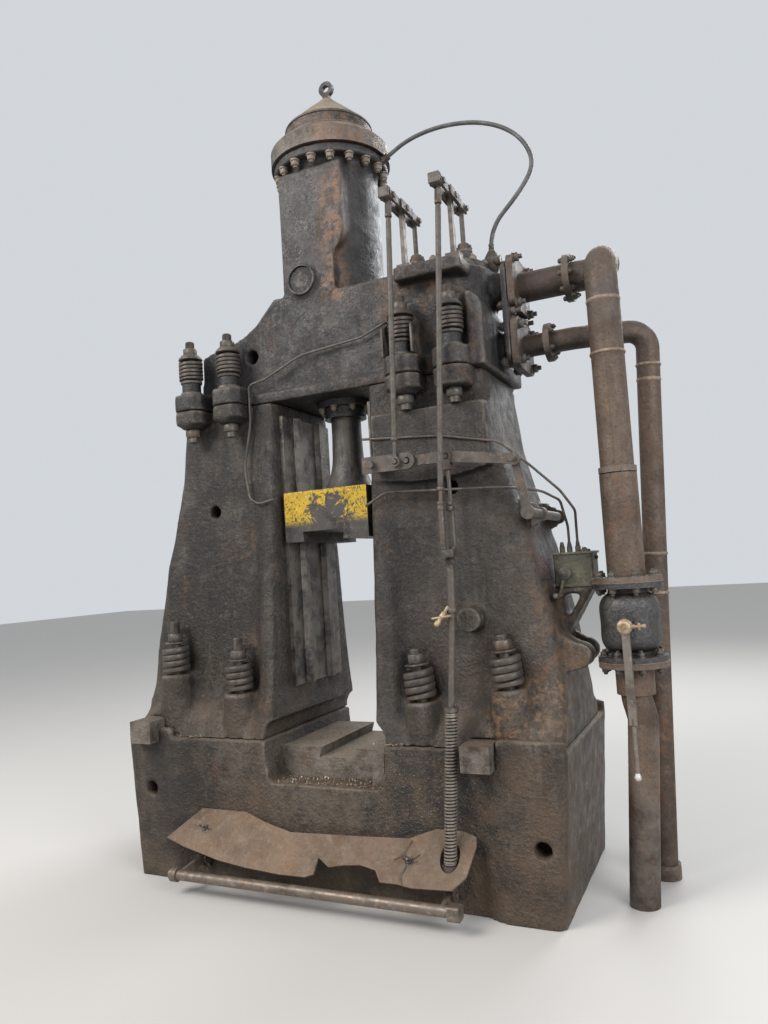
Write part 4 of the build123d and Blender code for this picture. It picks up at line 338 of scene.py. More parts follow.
FLANGE = weathered("flange_iron", (0.032, 0.026, 0.022), (0.1, 0.08, 0.063), (0.21, 0.175, 0.14), rust=0.45,
                   dust=0.7, streak=0.2, bump=0.7, wear=0.5)
VALVE = weathered("valve_iron", (0.022, 0.021, 0.021), (0.06, 0.058, 0.057), (0.14, 0.13, 0.122), rust=0.2,
                  dust=0.4, streak=0.3, bump=0.8, wear=0.0, rough=(0.28, 0.55), metallic=0.5)
SPRING = steel("spring_steel", (0.075, 0.062, 0.052), (0.026, 0.022, 0.02), (0.15, 0.125, 0.105), rust=0.3,
               metallic=0.35, rough=(0.4, 0.65))
COIL = steel("coil_steel", (0.2, 0.175, 0.148), (0.085, 0.072, 0.06), (0.36, 0.32, 0.28), rust=0.25,
             metallic=0.35, rough=(0.4, 0.65))
NUT = steel("nut_steel", (0.085, 0.072, 0.06), (0.028, 0.024, 0.021), (0.2, 0.172, 0.145), rust=0.35,
            metallic=0.35, rough=(0.4, 0.65))
PALE_NUT = steel("pale_nut_steel", (0.2, 0.165, 0.13), (0.075, 0.06, 0.048), (0.38, 0.33, 0.27), rust=0.35,
                 metallic=0.2, rough=(0.5, 0.75), scale=2.0)
ROD = steel("rod_steel", (0.085, 0.07, 0.058), (0.03, 0.025, 0.022), (0.19, 0.16, 0.135), rust=0.4,
            metallic=0.3, rough=(0.42, 0.68))
LINK = steel("link_steel", (0.08, 0.068, 0.057), (0.03, 0.0255, 0.022), (0.17, 0.145, 0.122), rust=0.45,
             metallic=0.15, rough=(0.5, 0.75), scale=2.0)
EYE = steel("eye_steel", (0.02, 0.018, 0.017), (0.01, 0.0095, 0.009), (0.05, 0.044, 0.04), rust=0.2,
            metallic=0.2, rough=(0.45, 0.7), scale=2.0)
WORN = steel("worn_steel", (0.17, 0.145, 0.122), (0.07, 0.056, 0.045), (0.34, 0.3, 0.26), rust=0.3,
             metallic=0.4, rough=(0.32, 0.55))
TUBE = steel("treadle_steel", (0.16, 0.125, 0.098), (0.06, 0.045, 0.035), (0.36, 0.31, 0.265), rust=0.5,
             metallic=0.4, rough=(0.32, 0.6), scale=0.7)
PLATE = weathered("plate_steel", (0.06, 0.036, 0.022), (0.165, 0.1, 0.06), (0.27, 0.185, 0.122), rust=0.35,
                  dust=0.75, streak=0.0, bump=1.3, wear=0.3, rough=(0.6, 0.9), metallic=0.0,
                  dust_colour=(0.215, 0.142, 0.09), painted_underside_shade=0, dents=0.05, places=(
    ((-0.7, -0.8, 0.0), (0.0, -0.3, 0.4), (0.095, 0.06, 0.038), 0.8, 12, 0.45),
    ((-0.75, -0.8, 0.0), (0.55, -0.3, 0.4), (0.33, 0.25, 0.18), 0.6, 30, 0.52)))
LUBE = weathered("lubricator_paint", (0.05, 0.046, 0.032), (0.115, 0.108, 0.075), (0.25, 0.21, 0.145),
                 rust=0.35, dust=0.9, streak=0.3, bump=0.5, wear=0.4, metallic=0.0)
WORN_PIPE = weathered("worn_pipe", (0.13, 0.09, 0.06), (0.24, 0.18, 0.13), (0.5, 0.43, 0.35), rust=0.4,
                      dust=0.2, streak=0.1, bump=0.8, wear=0.0, rough=(0.4, 0.7), metallic=0.3)
SCALE = steel("forging_scale", (0.2, 0.165, 0.13), (0.09, 0.07, 0.055), (0.42, 0.38, 0.33), rough=(0.35, 0.6),
              metallic=0.3, rust=0.4, scale=3.0)
BRASS = steel("old_brass", (0.33, 0.245, 0.15), (0.15, 0.1, 0.06), (0.6, 0.5, 0.37), rough=(0.35, 0.55),
              metallic=0.35, rust=0.15, scale=2.0)
PALE_STEEL = steel("pale_steel", (0.5, 0.48, 0.45), (0.27, 0.24, 0.21), (0.72, 0.7, 0.68), rough=(0.3, 0.5),
                   metallic=0.2, rust=0.1, scale=2.0)


def ram_material():
    m = Layers("ram_steel", (0.06, 0.054, 0.049), 0.4, 0.5)
    m.tint(m.remap(m.noise(6, 7, 0.7, 0.5), 0.45, 0.64), (0.018, 0.0165, 0.0155), 0.85)
    m.tint(m.remap(m.noise(40, 6, 0.7), 0.52, 0.7), (0.15, 0.132, 0.115), 0.6)
    front = m.times(m.remap(m.math("MULTIPLY", m.axis("Y", True), -1.0), 0.6, 0.9),
                    m.remap(m.axis("Y"), -0.13, -0.15))
    height = m.times(m.remap(m.axis("Z"), 1.73, 1.78), m.remap(m.axis("Z"), 1.93, 1.915))
    off = m.math("ABSOLUTE", m.math("ADD", m.axis("X"), -0.02), 0.0)
    rise = m.remap(m.axis("Z"), 1.76, 1.9, 0.0, 0.12)
    side = m.math("ADD", m.remap(off, 0.04, 0.2, 0.4, 0.56), rise)
    flakes = m.math("LESS_THAN", m.noise(17, 9, 0.78, 0.8), side)
    specks = m.math("LESS_THAN", m.noise(95, 6, 0.75, 0.5), 0.56)
    paint = m.times(m.times(front, height), m.times(flakes, specks))
    m.tint(paint, (0.5, 0.33, 0.018), 0.93)
    m.tint(m.times(paint, m.remap(m.noise(12, 7, 0.7, 0.6), 0.48, 0.7)), (0.28, 0.16, 0.02), 0.75)
    m.tint(m.times(paint, m.remap(m.noise(60, 5, 0.7), 0.55, 0.68)), (0.62, 0.5, 0.16), 0.6)
    m.tint(m.times(m.remap(m.axis("Z"), 1.93, 2.0),
                   m.remap(m.noise(1.3, 6, 0.7, 0.2, stretch=(14, 14, 1)), 0.4, 0.62)), (0.14, 0.122, 0.106),
           0.75)
    m.roughen(0.4, 0.65)
    m.raise_by(m.noise(120, 5, 0.7), 0.0018)
    m.raise_by(paint, 0.0006)
    return m.done()


RAM = ram_material()


def rubber_material():
    m = Layers("hose_rubber", (0.05, 0.05, 0.05), 0.0, 0.5)
    m.tint(m.remap(m.noise(14, 6, 0.65), 0.45, 0.65), (0.13, 0.125, 0.115), 0.7)
    m.tint(m.remap(m.axis("Z", True), 0.2, 0.9), (0.22, 0.21, 0.19), 0.6)
    m.roughen(0.4, 0.65, 40)
    m.raise_by(m.noise(180, 3, 0.6), 0.0006)
    return m.done()


RUBBER = rubber_material()
hose.data.materials.append(RUBBER)

BY_NODE = {"anvil_block": ANVIL, "sow_block": DIE, "die_wedge": DIE, "column_keys": KEY,
           "left_column": COLUMN, "right_column": COLUMN, "left_guide": GUIDE, "right_guide": GUIDE,
           "cylinder_block": BLOCK, "cylinder_cover": COVER, "lifting_eye": EYE, "rod_gland": VALVE,
           "foot_springs": SPRING, "foot_bolts": NUT, "head_springs": SPRING, "head_bolts": NUT,
           "spring_hoods": HEAD, "chest_cover": HEAD, "rocker_fulcrums": ROD, "bar_bracket": ROD,
           "cross_shaft": ROD, "treadle_brackets": ROD, "treadle_cover": PLATE, "spring_seat": ROD,
           "inlet_pipe": PIPE, "stop_valve_body": VALVE, "supply_pipe": PIPE, "exhaust_pipe": PIPE,
           "lubricator": LUBE, "oil_pipes": ROD, "hose_fittings": FLANGE, "hose": RUBBER, "ram": RAM,
           "piston": ROD, "treadle": TUBE, "pull_rod": ROD, "return_spring": COIL, "floating_lever": ROD,
           "short_bar": ROD, "slide_pull_rod": LINK, "slide_rocker": LINK, "slide_valve_stem": LINK,
           "throttle_rocker": LINK, "throttle_valve_stem": LINK, "stop_valve_lever": WORN}
for name, piece in nodes.items():
    piece.data.materials.clear()
    piece.data.materials.append(BY_NODE[name])


# Rough castings get soft cast edges and a slightly uneven skin
def soften(name, voxel, rounds, uneven=0.0):
    piece = nodes[name]
    remesh = piece.modifiers.new("skin", "REMESH")
    remesh.mode = "VOXEL"
    remesh.voxel_size = voxel
    remesh.use_smooth_shade = True
    smooth = piece.modifiers.new("round", "SMOOTH")
    smooth.factor = 0.5
    smooth.iterations = rounds
    if uneven:
        texture = bpy.data.textures.new(name + "_skin", "CLOUDS")
        texture.noise_scale = 0.16
        texture.noise_depth = 2
        push = piece.modifiers.new("uneven", "DISPLACE")
        push.texture = texture
        push.texture_coords = "GLOBAL"
        push.mid_level = 0.5
        push.strength = uneven


soften("left_column", 0.0115, 4, 0.006)
soften("right_column", 0.0115, 4, 0.006)
soften("anvil_block", 0.013, 4, 0.007)
soften("cylinder_block", 0.0115, 3, 0.004)


# Directions and places that several functions share, in metres
UP, DOWN = Vector((0, 0, 1)), Vector((0, 0, -1))
RIGHT, FRONT = Vector((1, 0, 0)), Vector((0, -1, 0))
RISER = (1.412, -0.19)  # axis of the main riser
SLIDE_X, THROTTLE_X = 0.52, 0.77  # planes of the two rockers
PIN_Z = 3.23  # height of the rockers' pins
STEM_Y = -0.13  # depth of the stems and of the rockers' rear pins
LEDGE_Z = 0.700  # top of the anvil's ledges


# Small helpers that gather faces into one mesh
class Shape:
    def __init__(self):
        self.points = []
        self.faces = []

    def rings(self, rings, cap=True):
        """Skins a list of closed rings of equal count."""
        base = len(self.points)
        count = len(rings[0])
        for ring in rings:
            self.points.extend(tuple(p) for p in ring)
        for r in range(len(rings) - 1):
            for i in range(count):
                a, b = base + r * count + i, base + r * count + (i + 1) % count
                self.faces.append((a, b, b + count, a + count))
        if cap:
            self.faces.append(tuple(base + i for i in reversed(range(count))))
            self.faces.append(tuple(base + (len(rings) - 1) * count + i for i in range(count)))

    def made(self, name, material, body, slot, smooth=40, stands_for=()):
        mesh = bpy.data.meshes.new(name)
        mesh.from_pydata(self.points, [], self.faces)
        builder = bmesh.new()
        builder.from_mesh(mesh)
        bmesh.ops.recalc_face_normals(builder, faces=builder.faces)
        builder.to_mesh(mesh)
        builder.free()
        if smooth:
            mesh.shade_smooth()
            mesh.set_sharp_from_angle(angle=radians(smooth))
        mesh.materials.append(material)
        piece = bpy.data.objects.new(name, mesh)
        scene.collection.objects.link(piece)
        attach(piece, body)
        if stands_for:
            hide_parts(*stands_for)
        return piece


def axes(direction):
    """Two directions across a given one."""
    along = Vector(direction).normalized()
    side = along.cross(Vector((0, 1, 0)) if abs(along.y) < 0.9 else Vector((1, 0, 0))).normalized()
    return along, side, along.cross(side)


def turned(shape, place, direction, profile, count=24, cap=True):
    """A turned form: profile is a list of (radius, distance along the axis)."""
    along, u, v = axes(direction)
    place = Vector(place)
    shape.rings([[place + along * z + (
        u * cos(2 * pi * i / count) + v * sin(2 * pi * i / count)) * r for i in range(count)] for r,
                 z in profile], cap=cap)


def hex_nut(shape, place, direction, radius, height, turn=0.0):
    """A hexagon nut with chamfered corners."""
    along, u, v = axes(direction)
    place = Vector(place)
    flat = radius * cos(pi / 6)
    rings = []
    for z, corner, middle in ((0, flat * 0.97, flat * 0.97), (radius * 0.12, radius, flat),
                              (height - radius * 0.14, radius, flat), (height, flat * 0.95, flat * 0.95)):
        ring = []
        for i in range(12):
            angle = turn + pi * i / 6
            r = corner if i % 2 == 0 else middle
            ring.append(place + along * z + (u * cos(angle) + v * sin(angle)) * r)
        rings.append(ring)
    shape.rings(rings)


def threaded(shape, place, direction, radius, length, pitch=0.006, count=20, depth=0.12):
    """A threaded end with a chamfered tip."""
    along, u, v = axes(direction)
    place = Vector(place)
    steps = max(4, int(length / pitch * 4))
    rings = []
    for s in range(steps + 1):
        z = length * s / steps
        ring = []
        for i in range(count):
            phase = (z / pitch - i / count) % 1
            r = radius * (1 - depth * abs(2 * phase - 1))
            if z > length - radius * 0.25:
                r = min(r, radius * 0.8 + (length - z) * 0.8)
            angle = 2 * pi * i / count
            ring.append(place + along * z + (u * cos(angle) + v * sin(angle)) * r)
        rings.append(ring)
    shape.rings(rings)


def coil(shape, foot, head, radius, wire_w, wire_h, turns, per_turn=28, dead=0.75, corners=10):
    """A compression spring with closed ends, of wire with a rounded section."""
    foot, head = Vector(foot), Vector(head)
    along, u, v = axes(head - foot)
    length = (head - foot).length
    total = turns + 2 * dead
    steps = int(total * per_turn)
    free = length - 2 * dead * wire_h * 0.96 - wire_h
    rings = []
    for s in range(steps + 1):
        t = total * s / steps
        if t < dead:
            z = wire_h * 0.96 * t
        elif t > dead + turns:
            z = length - wire_h - wire_h * 0.96 * (total - t)
        else:
            z = wire_h * 0.96 * dead + free * (t - dead) / turns
        z += wire_h / 2
        angle = 2 * pi * t
        out = u * cos(angle) + v * sin(angle)
        taper = min(1.0, 0.25 + 1.5 * min(t, total - t))
        ring = []
        for i in range(corners):
            a = 2 * pi * i / corners
            ca, sa = cos(a), sin(a)
            x = (abs(ca) ** 0.6) * (1 if ca > 0 else -1) * wire_w / 2
            y = (abs(sa) ** 0.6) * (1 if sa > 0 else -1) * wire_h / 2 * taper
            ring.append(foot + along * (z + y) + out * (radius - wire_w / 2 + x))
        rings.append(ring)
    shape.rings(rings)


def rod_path(shape, points, radius, count=12):
    """A round rod through points, with mitred corners."""
    points = [Vector(p) for p in points]
    rings = []
    side = None
    for i, point in enumerate(points):
        before = (point - points[i - 1]).normalized() if i else None
        after = (points[i + 1] - point).normalized() if i < len(points) - 1 else None
        tangent = ((before or after) + (after or before)).normalized()
        if side is None:
            side = axes(tangent)[1]
        side = (side - tangent * side.dot(tangent)).normalized()
        other = tangent.cross(side)
        rings.append([point + (side * cos(2 * pi * k / count) + other * sin(2 * pi * k / count)) * radius
                      for k in range(count)])
    shape.rings(rings)


def block(shape, low, high, bevel=0.004):
    """A box with chamfered long edges and ends."""
    (x0, y0, z0), (x1, y1, z1) = low, high
    rings = []
    for z, inset in ((z0, bevel), (z0 + bevel, 0), (z1 - bevel, 0), (z1, bevel)):
        a, b, c, d = x0 + inset, x1 - inset, y0 + inset, y1 - inset
        e = bevel
        rings.append([(a + e, c, z), (b - e, c, z), (b, c + e, z), (b, d - e, z), (b - e, d, z),
                      (a + e, d, z), (a, d - e, z), (a, c + e, z)])
    shape.rings(rings)


def bolt_head(shape, place, direction, radius, height, stub=0.0, washer=True, turn=0.3):
    """A nut on a washer, with the bolt's threaded end through it."""
    along = Vector(direction).normalized()
    place = Vector(place)
    if washer:
        turned(shape, place, along, [(radius * 1.15, -0.004), (radius * 1.15, 0.002), (radius * 1.1, 0.004)],
               20)
    hex_nut(shape, place + along * 0.003, along, radius, height, turn)
    if stub:
        threaded(shape, place + along * height, along, radius * 0.56, stub, pitch=max(0.003, radius * 0.16),
                 count=14)


def bolt_ring(shape, centre, direction, pcd_r, count, radius, height, stub=0.0, start=0.0):
    """Nuts round a flange."""
    along, u, v = axes(direction)
    for i in range(count):
        angle = start + 2 * pi * i / count
        bolt_head(shape, Vector(centre) + (u * cos(angle) + v * sin(angle)) * pcd_r, along, radius, height,
                  stub, turn=0.3 + i * 0.7)


# Springs and studs at the feet and the head, and the treadle rod's spring
def lean_axis(side):
    """The right foot's bolts lean with their column, the left ones stand upright."""
    lean = radians(5)
    return Vector((-sin(lean), 0, cos(lean))) if side > 0 else UP


def add_foot_bolts():
    springs, studs = Shape(), Shape()
    for side, seats, stub in ((-1, (0.918, 1.010), 0.062), (1, (0.890, 0.945), 0.022)):
        along = lean_axis(side)
        for face in (-1, 1):
            for x, y, z in ((0.5, 0.385, seats[0]), (0.908, 0.375, seats[1])):
                seat = Vector((side * x, face * y, z))
                coil(springs, seat, seat + along * 0.160, radius=0.0715, wire_w=0.034, wire_h=0.0325,
                     turns=2.55, dead=0.7, corners=12)
                turned(studs, seat, along, [(0.026, -0.06), (0.026, 0.2)], 20)
                turned(studs, seat + along * 0.160, along,
                       [(0.054, 0), (0.056, 0.003), (0.055, 0.007), (0.05, 0.008)], 32)
                hex_nut(studs, seat + along * 0.168, along, 0.042, 0.044, 0.4 + x)
                threaded(studs, seat + along * 0.210, along, 0.026, stub + 0.002, 0.006)
    springs.made("foot_coils", SPRING, "frame", "springs", stands_for=("foot_springs",))
    studs.made("foot_studs", NUT, "frame", "fasteners", stands_for=("foot_bolts",))


def add_head_bolts():
    springs, sleeves, studs = Shape(), Shape(), Shape()
    for side in (-1, 1):
        for face in (-1, 1):
            for x in (0.5, 0.745):
                foot = Vector((side * x, face * 0.35, 2.490))
                turned(sleeves, foot, UP, [(0.058, 0), (0.058, 0.012), (0.05, 0.016), (0.05, 0.06),
                                           (0.056, 0.064), (0.058, 0.075)], 32)
                coil(springs, foot + UP * 0.075, foot + UP * 0.193, radius=0.0645, wire_w=0.026,
                     wire_h=0.0185, turns=3.7, dead=0.7, corners=12)
                turned(studs, foot, UP, [(0.026, -0.255), (0.026, 0.25)], 20)
                turned(studs, foot + UP * 0.193, UP, [
                    (0.061, 0), (0.064, 0.003), (0.062, 0.01), (0.052, 0.021), (0.048, 0.026)], 32)
                hex_nut(studs, foot + UP * 0.219, UP, 0.038, 0.040, 0.2 + x)
                threaded(studs, foot + UP * 0.258, UP, 0.025, 0.038, 0.006)
                hex_nut(studs, foot - UP * 0.187, -UP, 0.042, 0.040, 0.5 + x)
                threaded(studs, foot - UP * 0.226, -UP, 0.025, 0.018, 0.006)
    springs.made("head_coils", SPRING, "frame", "springs", stands_for=("head_springs",))
    sleeves.made("head_sleeves", HEAD, "frame", "castings")
    studs.made("head_studs", NUT, "frame", "fasteners", stands_for=("head_bolts",))


def add_return_spring():
    foot, head = Vector((0.6444, -0.5384, 0.235)), Vector((0.6775, -0.4894, 0.865))
    shape = Shape()
    coil(shape, foot, head, radius=0.0285, wire_w=0.0085, wire_h=0.0085, turns=44, per_turn=16, dead=1.5,
         corners=8)
    spring = shape.made("return_coil", COIL, "pull_rod", "springs", stands_for=("return_spring",))
    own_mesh(spring)


add_foot_bolts()
add_head_bolts()
add_return_spring()


# Nuts, studs, seams and fittings on top of the solids
def add_cover_details():
    nuts = Shape()
    for i in range(18):
        angle = 2 * pi * (i + 0.35) / 18
        bolt_head(nuts, (0.287 * sin(angle), -0.287 * cos(angle), 3.65), DOWN, 0.023, 0.024, 0.014, turn=i)
    for i in range(12):
        angle = 2 * pi * i / 12
        bolt_head(nuts, (0.645 + 0.196 * sin(angle), -0.04 - 0.196 * cos(angle), 2.958), UP, 0.02, 0.02,
                  0.012, turn=i)
    bolt_ring(nuts, (0, 0, 2.366), DOWN, 0.13, 8, 0.017, 0.018, 0.01)
    nuts.made("cover_nuts", PALE_NUT, "frame", "fasteners")
    rim = Shape()
    turned(rim, (0, 0, 3.842), UP, [(0.243, 0), (0.2475, 0.003), (0.2475, 0.012), (0.2425, 0.016)], 64,
           cap=False)
    turned(rim, (0, 0, 3.905), UP, [(0.2375, 0), (0.242, 0.004), (0.241, 0.012), (0.236, 0.018)], 64,
           cap=False)
    rim.made("cover_rings", COVER, "frame", "castings")
    cone = Shape()
    turned(cone, (0, 0, 0), UP, [(0.2385, 3.9105), (0.2375, 3.919), (0.229, 3.927), (0.176, 3.977),
                                 (0.12, 4.028), (0.074, 4.068), (0.051, 4.0905), (0.038, 4.103),
                                 (0.034, 4.108)], 64)
    cone.made("cover_cone", CONE, "frame", "castings")


def add_round_plate():
    plate = Shape()
    place = Vector((-0.065, -0.284, 3.01))
    turned(plate, place, FRONT, [(0.0, -0.004), (0.0815, -0.004), (0.0815, 0.008), (0.0785, 0.011),
                                 (0.0705, 0.011), (0.0685, 0.0075), (0.0675, 0.0015), (0.03, 0.0025),
                                 (0.0, 0.003)], 56, cap=False)
    plate.made("round_plate", HEAD, "frame", "castings")


def add_hose_clamps():
    clamps = Shape()
    for place, along in (((0.872, 0, 3.052), (0, 0, 1)), ((0.331, 0, 3.681), (-0.898, 0, -0.44))):
        along = Vector(along)
        for start in (0.0, 0.016):
            turned(clamps, Vector(place) + along * start, along, [
                (0.0115, 0), (0.0138, 0.001), (0.0138, 0.009), (0.0115, 0.01)], 28, cap=False)
        hex_nut(clamps, Vector(place) + along * 0.013 + Vector((0, -0.0125, 0)), FRONT, 0.007, 0.011)
    clamps.made("hose_clamps", LINK, "frame", "flanges")


def add_link_details():
    """Sleeves and lock nuts on the two pull rods, heads on the rockers, glands on the stems."""
    for body, top, foot in (("slide_pull_rod", (SLIDE_X, -0.45, 3.212), (0.48, -0.472, 2.0)),
                            ("pull_rod", (THROTTLE_X, -0.45, 3.212), (0.692, -0.49, 1.75))):
        top, foot = Vector(top), Vector(foot)
        along = (foot - top).normalized()
        run = (foot - top).length
        sleeve, nuts = Shape(), Shape()
        turned(sleeve, top + along * 0.085, along, [
            (0.009, 0), (0.0125, 0.006), (0.0132, 0.02), (0.0132, run - 0.19), (0.0125, run - 0.176),
            (0.009, run - 0.17)], 20)
        sleeve.made(body + "_sleeve", LINK, body, "rods")
        turned(nuts, top + along * 0.012, along,
               [(0.012, 0), (0.0175, 0.004), (0.0175, 0.05), (0.014, 0.056)], 4)
        hex_nut(nuts, top + along * 0.07, along, 0.0185, 0.014, 0.2)
        hex_nut(nuts, top + along * (run - 0.09), along, 0.0185, 0.016, 0.5)
        nuts.made(body + "_nuts", ROD, body, "rods")
    for body, x in (("slide_rocker", SLIDE_X), ("throttle_rocker", THROTTLE_X)):
        heads = Shape()
        for y in (-0.45, -0.29, STEM_Y):
            for side in (-1, 1):
                turned(heads, (x + side * 0.024, y, PIN_Z), RIGHT * side,
                       [(0.021, -0.002), (0.021, 0.002), (0.019, 0.003)], 20)
                hex_nut(heads, (x + side * 0.026, y, PIN_Z), RIGHT * side, 0.0155, 0.011, y * 9)
        block(heads, (x - 0.027, -0.506, 3.205), (x + 0.027, -0.481, 3.255), 0.003)
        for side in (-1, 1):
            block(heads, (x + side * 0.0185 - 0.0085, -0.497, 3.208),
                  (x + side * 0.0185 + 0.0085, -0.471, 3.252), 0.002)
            block(heads, (x + side * 0.0285 - 0.003, -0.36, 3.206), (x + side * 0.0285 + 0.003, -0.22, 3.254),
                  0.002)
        heads.made(body + "_heads", LINK, body, "rods")
    glands = Shape()
    for x in (SLIDE_X, THROTTLE_X):
        turned(glands, (x, STEM_Y, 3.006), UP, [
            (0.0145, 0), (0.041, 0), (0.041, 0.012), (0.031, 0.014), (0.03, 0.042), (0.025, 0.048),
            (0.0145, 0.048), (0.0145, 0)], 28, cap=False)
        for side in (-1, 1):
            bolt_head(glands, (x + side * 0.034, STEM_Y, 3.018), UP, 0.009, 0.009, 0.016, washer=False)
    glands.made("stem_glands", FLANGE, "frame", "flanges")


def weld_profile(radius, seed):
    """A bead round a pipe, a little different for each seed."""
    lift = 0.004 + 0.0015 * sin(seed * 40)
    return [(radius - 0.001, -0.009), (radius + lift * 0.7, -0.005), (radius + lift, 0),
            (radius + lift * 0.7, 0.005), (radius - 0.001, 0.009)]


def add_pipe_details():
    nuts, seams = Shape(), Shape()
    for z in (2.72, 2.94, 2.445, 2.615):
        for y in (-0.112, 0.112):
            bolt_head(nuts, (1.007, y, z), RIGHT, 0.022, 0.022, 0.02, turn=z + y)
            bolt_head(nuts, (0.943, y, z), -RIGHT, 0.022, 0.022, 0.012, turn=z - y)
    for y in (-0.12, 0.12):
        bolt_head(nuts, (0.975, y, 2.68), RIGHT, 0.022, 0.022, 0.03, turn=y)
    bolt_ring(nuts, (1.255, 0, 2.822), RIGHT, 0.095, 8, 0.013, 0.014, 0.01)
    bolt_ring(nuts, (1.225, 0, 2.822), -RIGHT, 0.095, 8, 0.013, 0.014, 0.006)
    bolt_ring(nuts, (1.138, 0, 2.53), RIGHT, 0.076, 6, 0.012, 0.013, 0.008)
    for z, way in ((1.399, 1), (1.351, -1), (1.064, 1), (1.016, -1)):
        bolt_ring(nuts, (*RISER, z), UP * way, 0.122, 8, 0.0165, 0.017, 0.012, start=0.39)
    nuts.made("pipe_nuts", NUT, "frame", "fasteners")
    for z in (1.375, 1.04):
        turned(seams, (*RISER, z), UP, [
            (0.1455, -0.0015), (0.1475, -0.0008), (0.1475, 0.0008), (0.1455, 0.0015)], 64, cap=False)
    for z in (2.381, 2.62):
        turned(seams, (*RISER, z), UP, weld_profile(0.0725, z), 72, cap=False)
    foot, head = Vector((1.43, 0.18, 0.06)), Vector((1.56, 0.1, 2.538))
    along = (head - foot).normalized()
    for z in (2.37, 2.30, 1.49, 1.31):
        place = foot + along * ((z - 0.06) / along.z)
        turned(seams, place, along, weld_profile(0.0535, z), 64, cap=False)
    seams.made("pipe_seams", WORN_PIPE, "frame", "pipes")


def add_valve_lever_details():
    hub = Shape()
    face = Vector((1.412, -0.379, 1.2))
    turned(hub, face, FRONT, [(0.029, -0.026), (0.031, -0.022), (0.031, 0.0), (0.027, 0.004), (0.027, 0.022),
                              (0.022, 0.026), (0.013, 0.026), (0.013, 0.020), (0.0, 0.020)], 28, cap=False)
    turned(hub, face + Vector((0.02, -0.004, 0)), (1, 0, 0.03), [
        (0.009, 0), (0.009, 0.02), (0.006, 0.024), (0.006, 0.05), (0.009, 0.052), (0.009, 0.062),
        (0.004, 0.066)], 16)
    turned(hub, face + Vector((0.058, -0.004, -0.014)), UP, [
        (0.004, 0), (0.0055, 0.003), (0.0055, 0.025), (0.004, 0.028)], 12)
    hub.made("valve_handle_hub", BRASS, "stop_valve_lever", "flanges")
    ball = Shape()
    turned(ball, (1.412, -0.357, 0.596), DOWN, [
        (0.009, -0.012), (0.0105, -0.006), (0.013, 0.0), (0.0145, 0.006), (0.013, 0.013), (0.008, 0.0185),
        (0.001, 0.0205)], 24)
    ball.made("valve_lever_ball", PALE_STEEL, "stop_valve_lever", "flanges")
    sleeve = Shape()
    turned(sleeve, (1.412, -0.357, 0.83), DOWN, [
        (0.011, 0.0), (0.0125, 0.004), (0.0125, 0.03), (0.0105, 0.034)], 20)
    sleeve.made("valve_lever_collar", NUT, "stop_valve_lever", "flanges")


def add_rod_details():
    brass, nuts = Shape(), Shape()
    low = Vector((0.7, -0.456, 1.295))
    turned(brass, low + Vector((-0.012, -0.012, 0.02)), (-0.55, -0.25, -0.8), [
        (0.008, 0), (0.008, 0.03), (0.012, 0.034), (0.013, 0.055), (0.009, 0.06), (0.009, 0.075),
        (0.0125, 0.08), (0.0125, 0.098), (0.006, 0.104)], 18)
    turned(brass, low + Vector((-0.085, -0.035, -0.03)), (1, 0.1, 0.12), [
        (0.0045, 0), (0.0055, 0.003), (0.0055, 0.085), (0.0045, 0.088)], 12)
    brass.made("rod_handle", BRASS, "pull_rod", "fasteners")
    for x, y in ((0.692, -0.49), (0.72, -0.449)):
        for z, way in ((1.76, 1), (1.555, -1)):
            hex_nut(nuts, (x, y, z), (0, 0, way), 0.0165, 0.016, x * 9)
        hex_nut(nuts, (x, y, 1.556), UP, 0.0175, 0.02, x * 7)
        hex_nut(nuts, (x, y, 1.735), UP, 0.0175, 0.02, x * 5)
    hex_nut(nuts, low + Vector((0, 0, -0.01)), UP, 0.024, 0.022, 0.3)
    hex_nut(nuts, (0.706, -0.45, 1.5), UP, 0.025, 0.024, 0.8)
    nuts.made("rod_nuts", NUT, "pull_rod", "fasteners")
    pins = Shape()
    for place in ((0.355, -0.472, 1.98), (1.02, -0.475, 1.935)):
        hex_nut(pins, place, FRONT, 0.021, 0.016, 0.4)
    for y in (-0.19, 0.19):
        for z in (1.662, 1.738):
            bolt_head(pins, (1.03, y, z), RIGHT, 0.013, 0.013, 0.008, turn=z)
    pins.made("gear_pins", NUT, "frame", "fasteners")


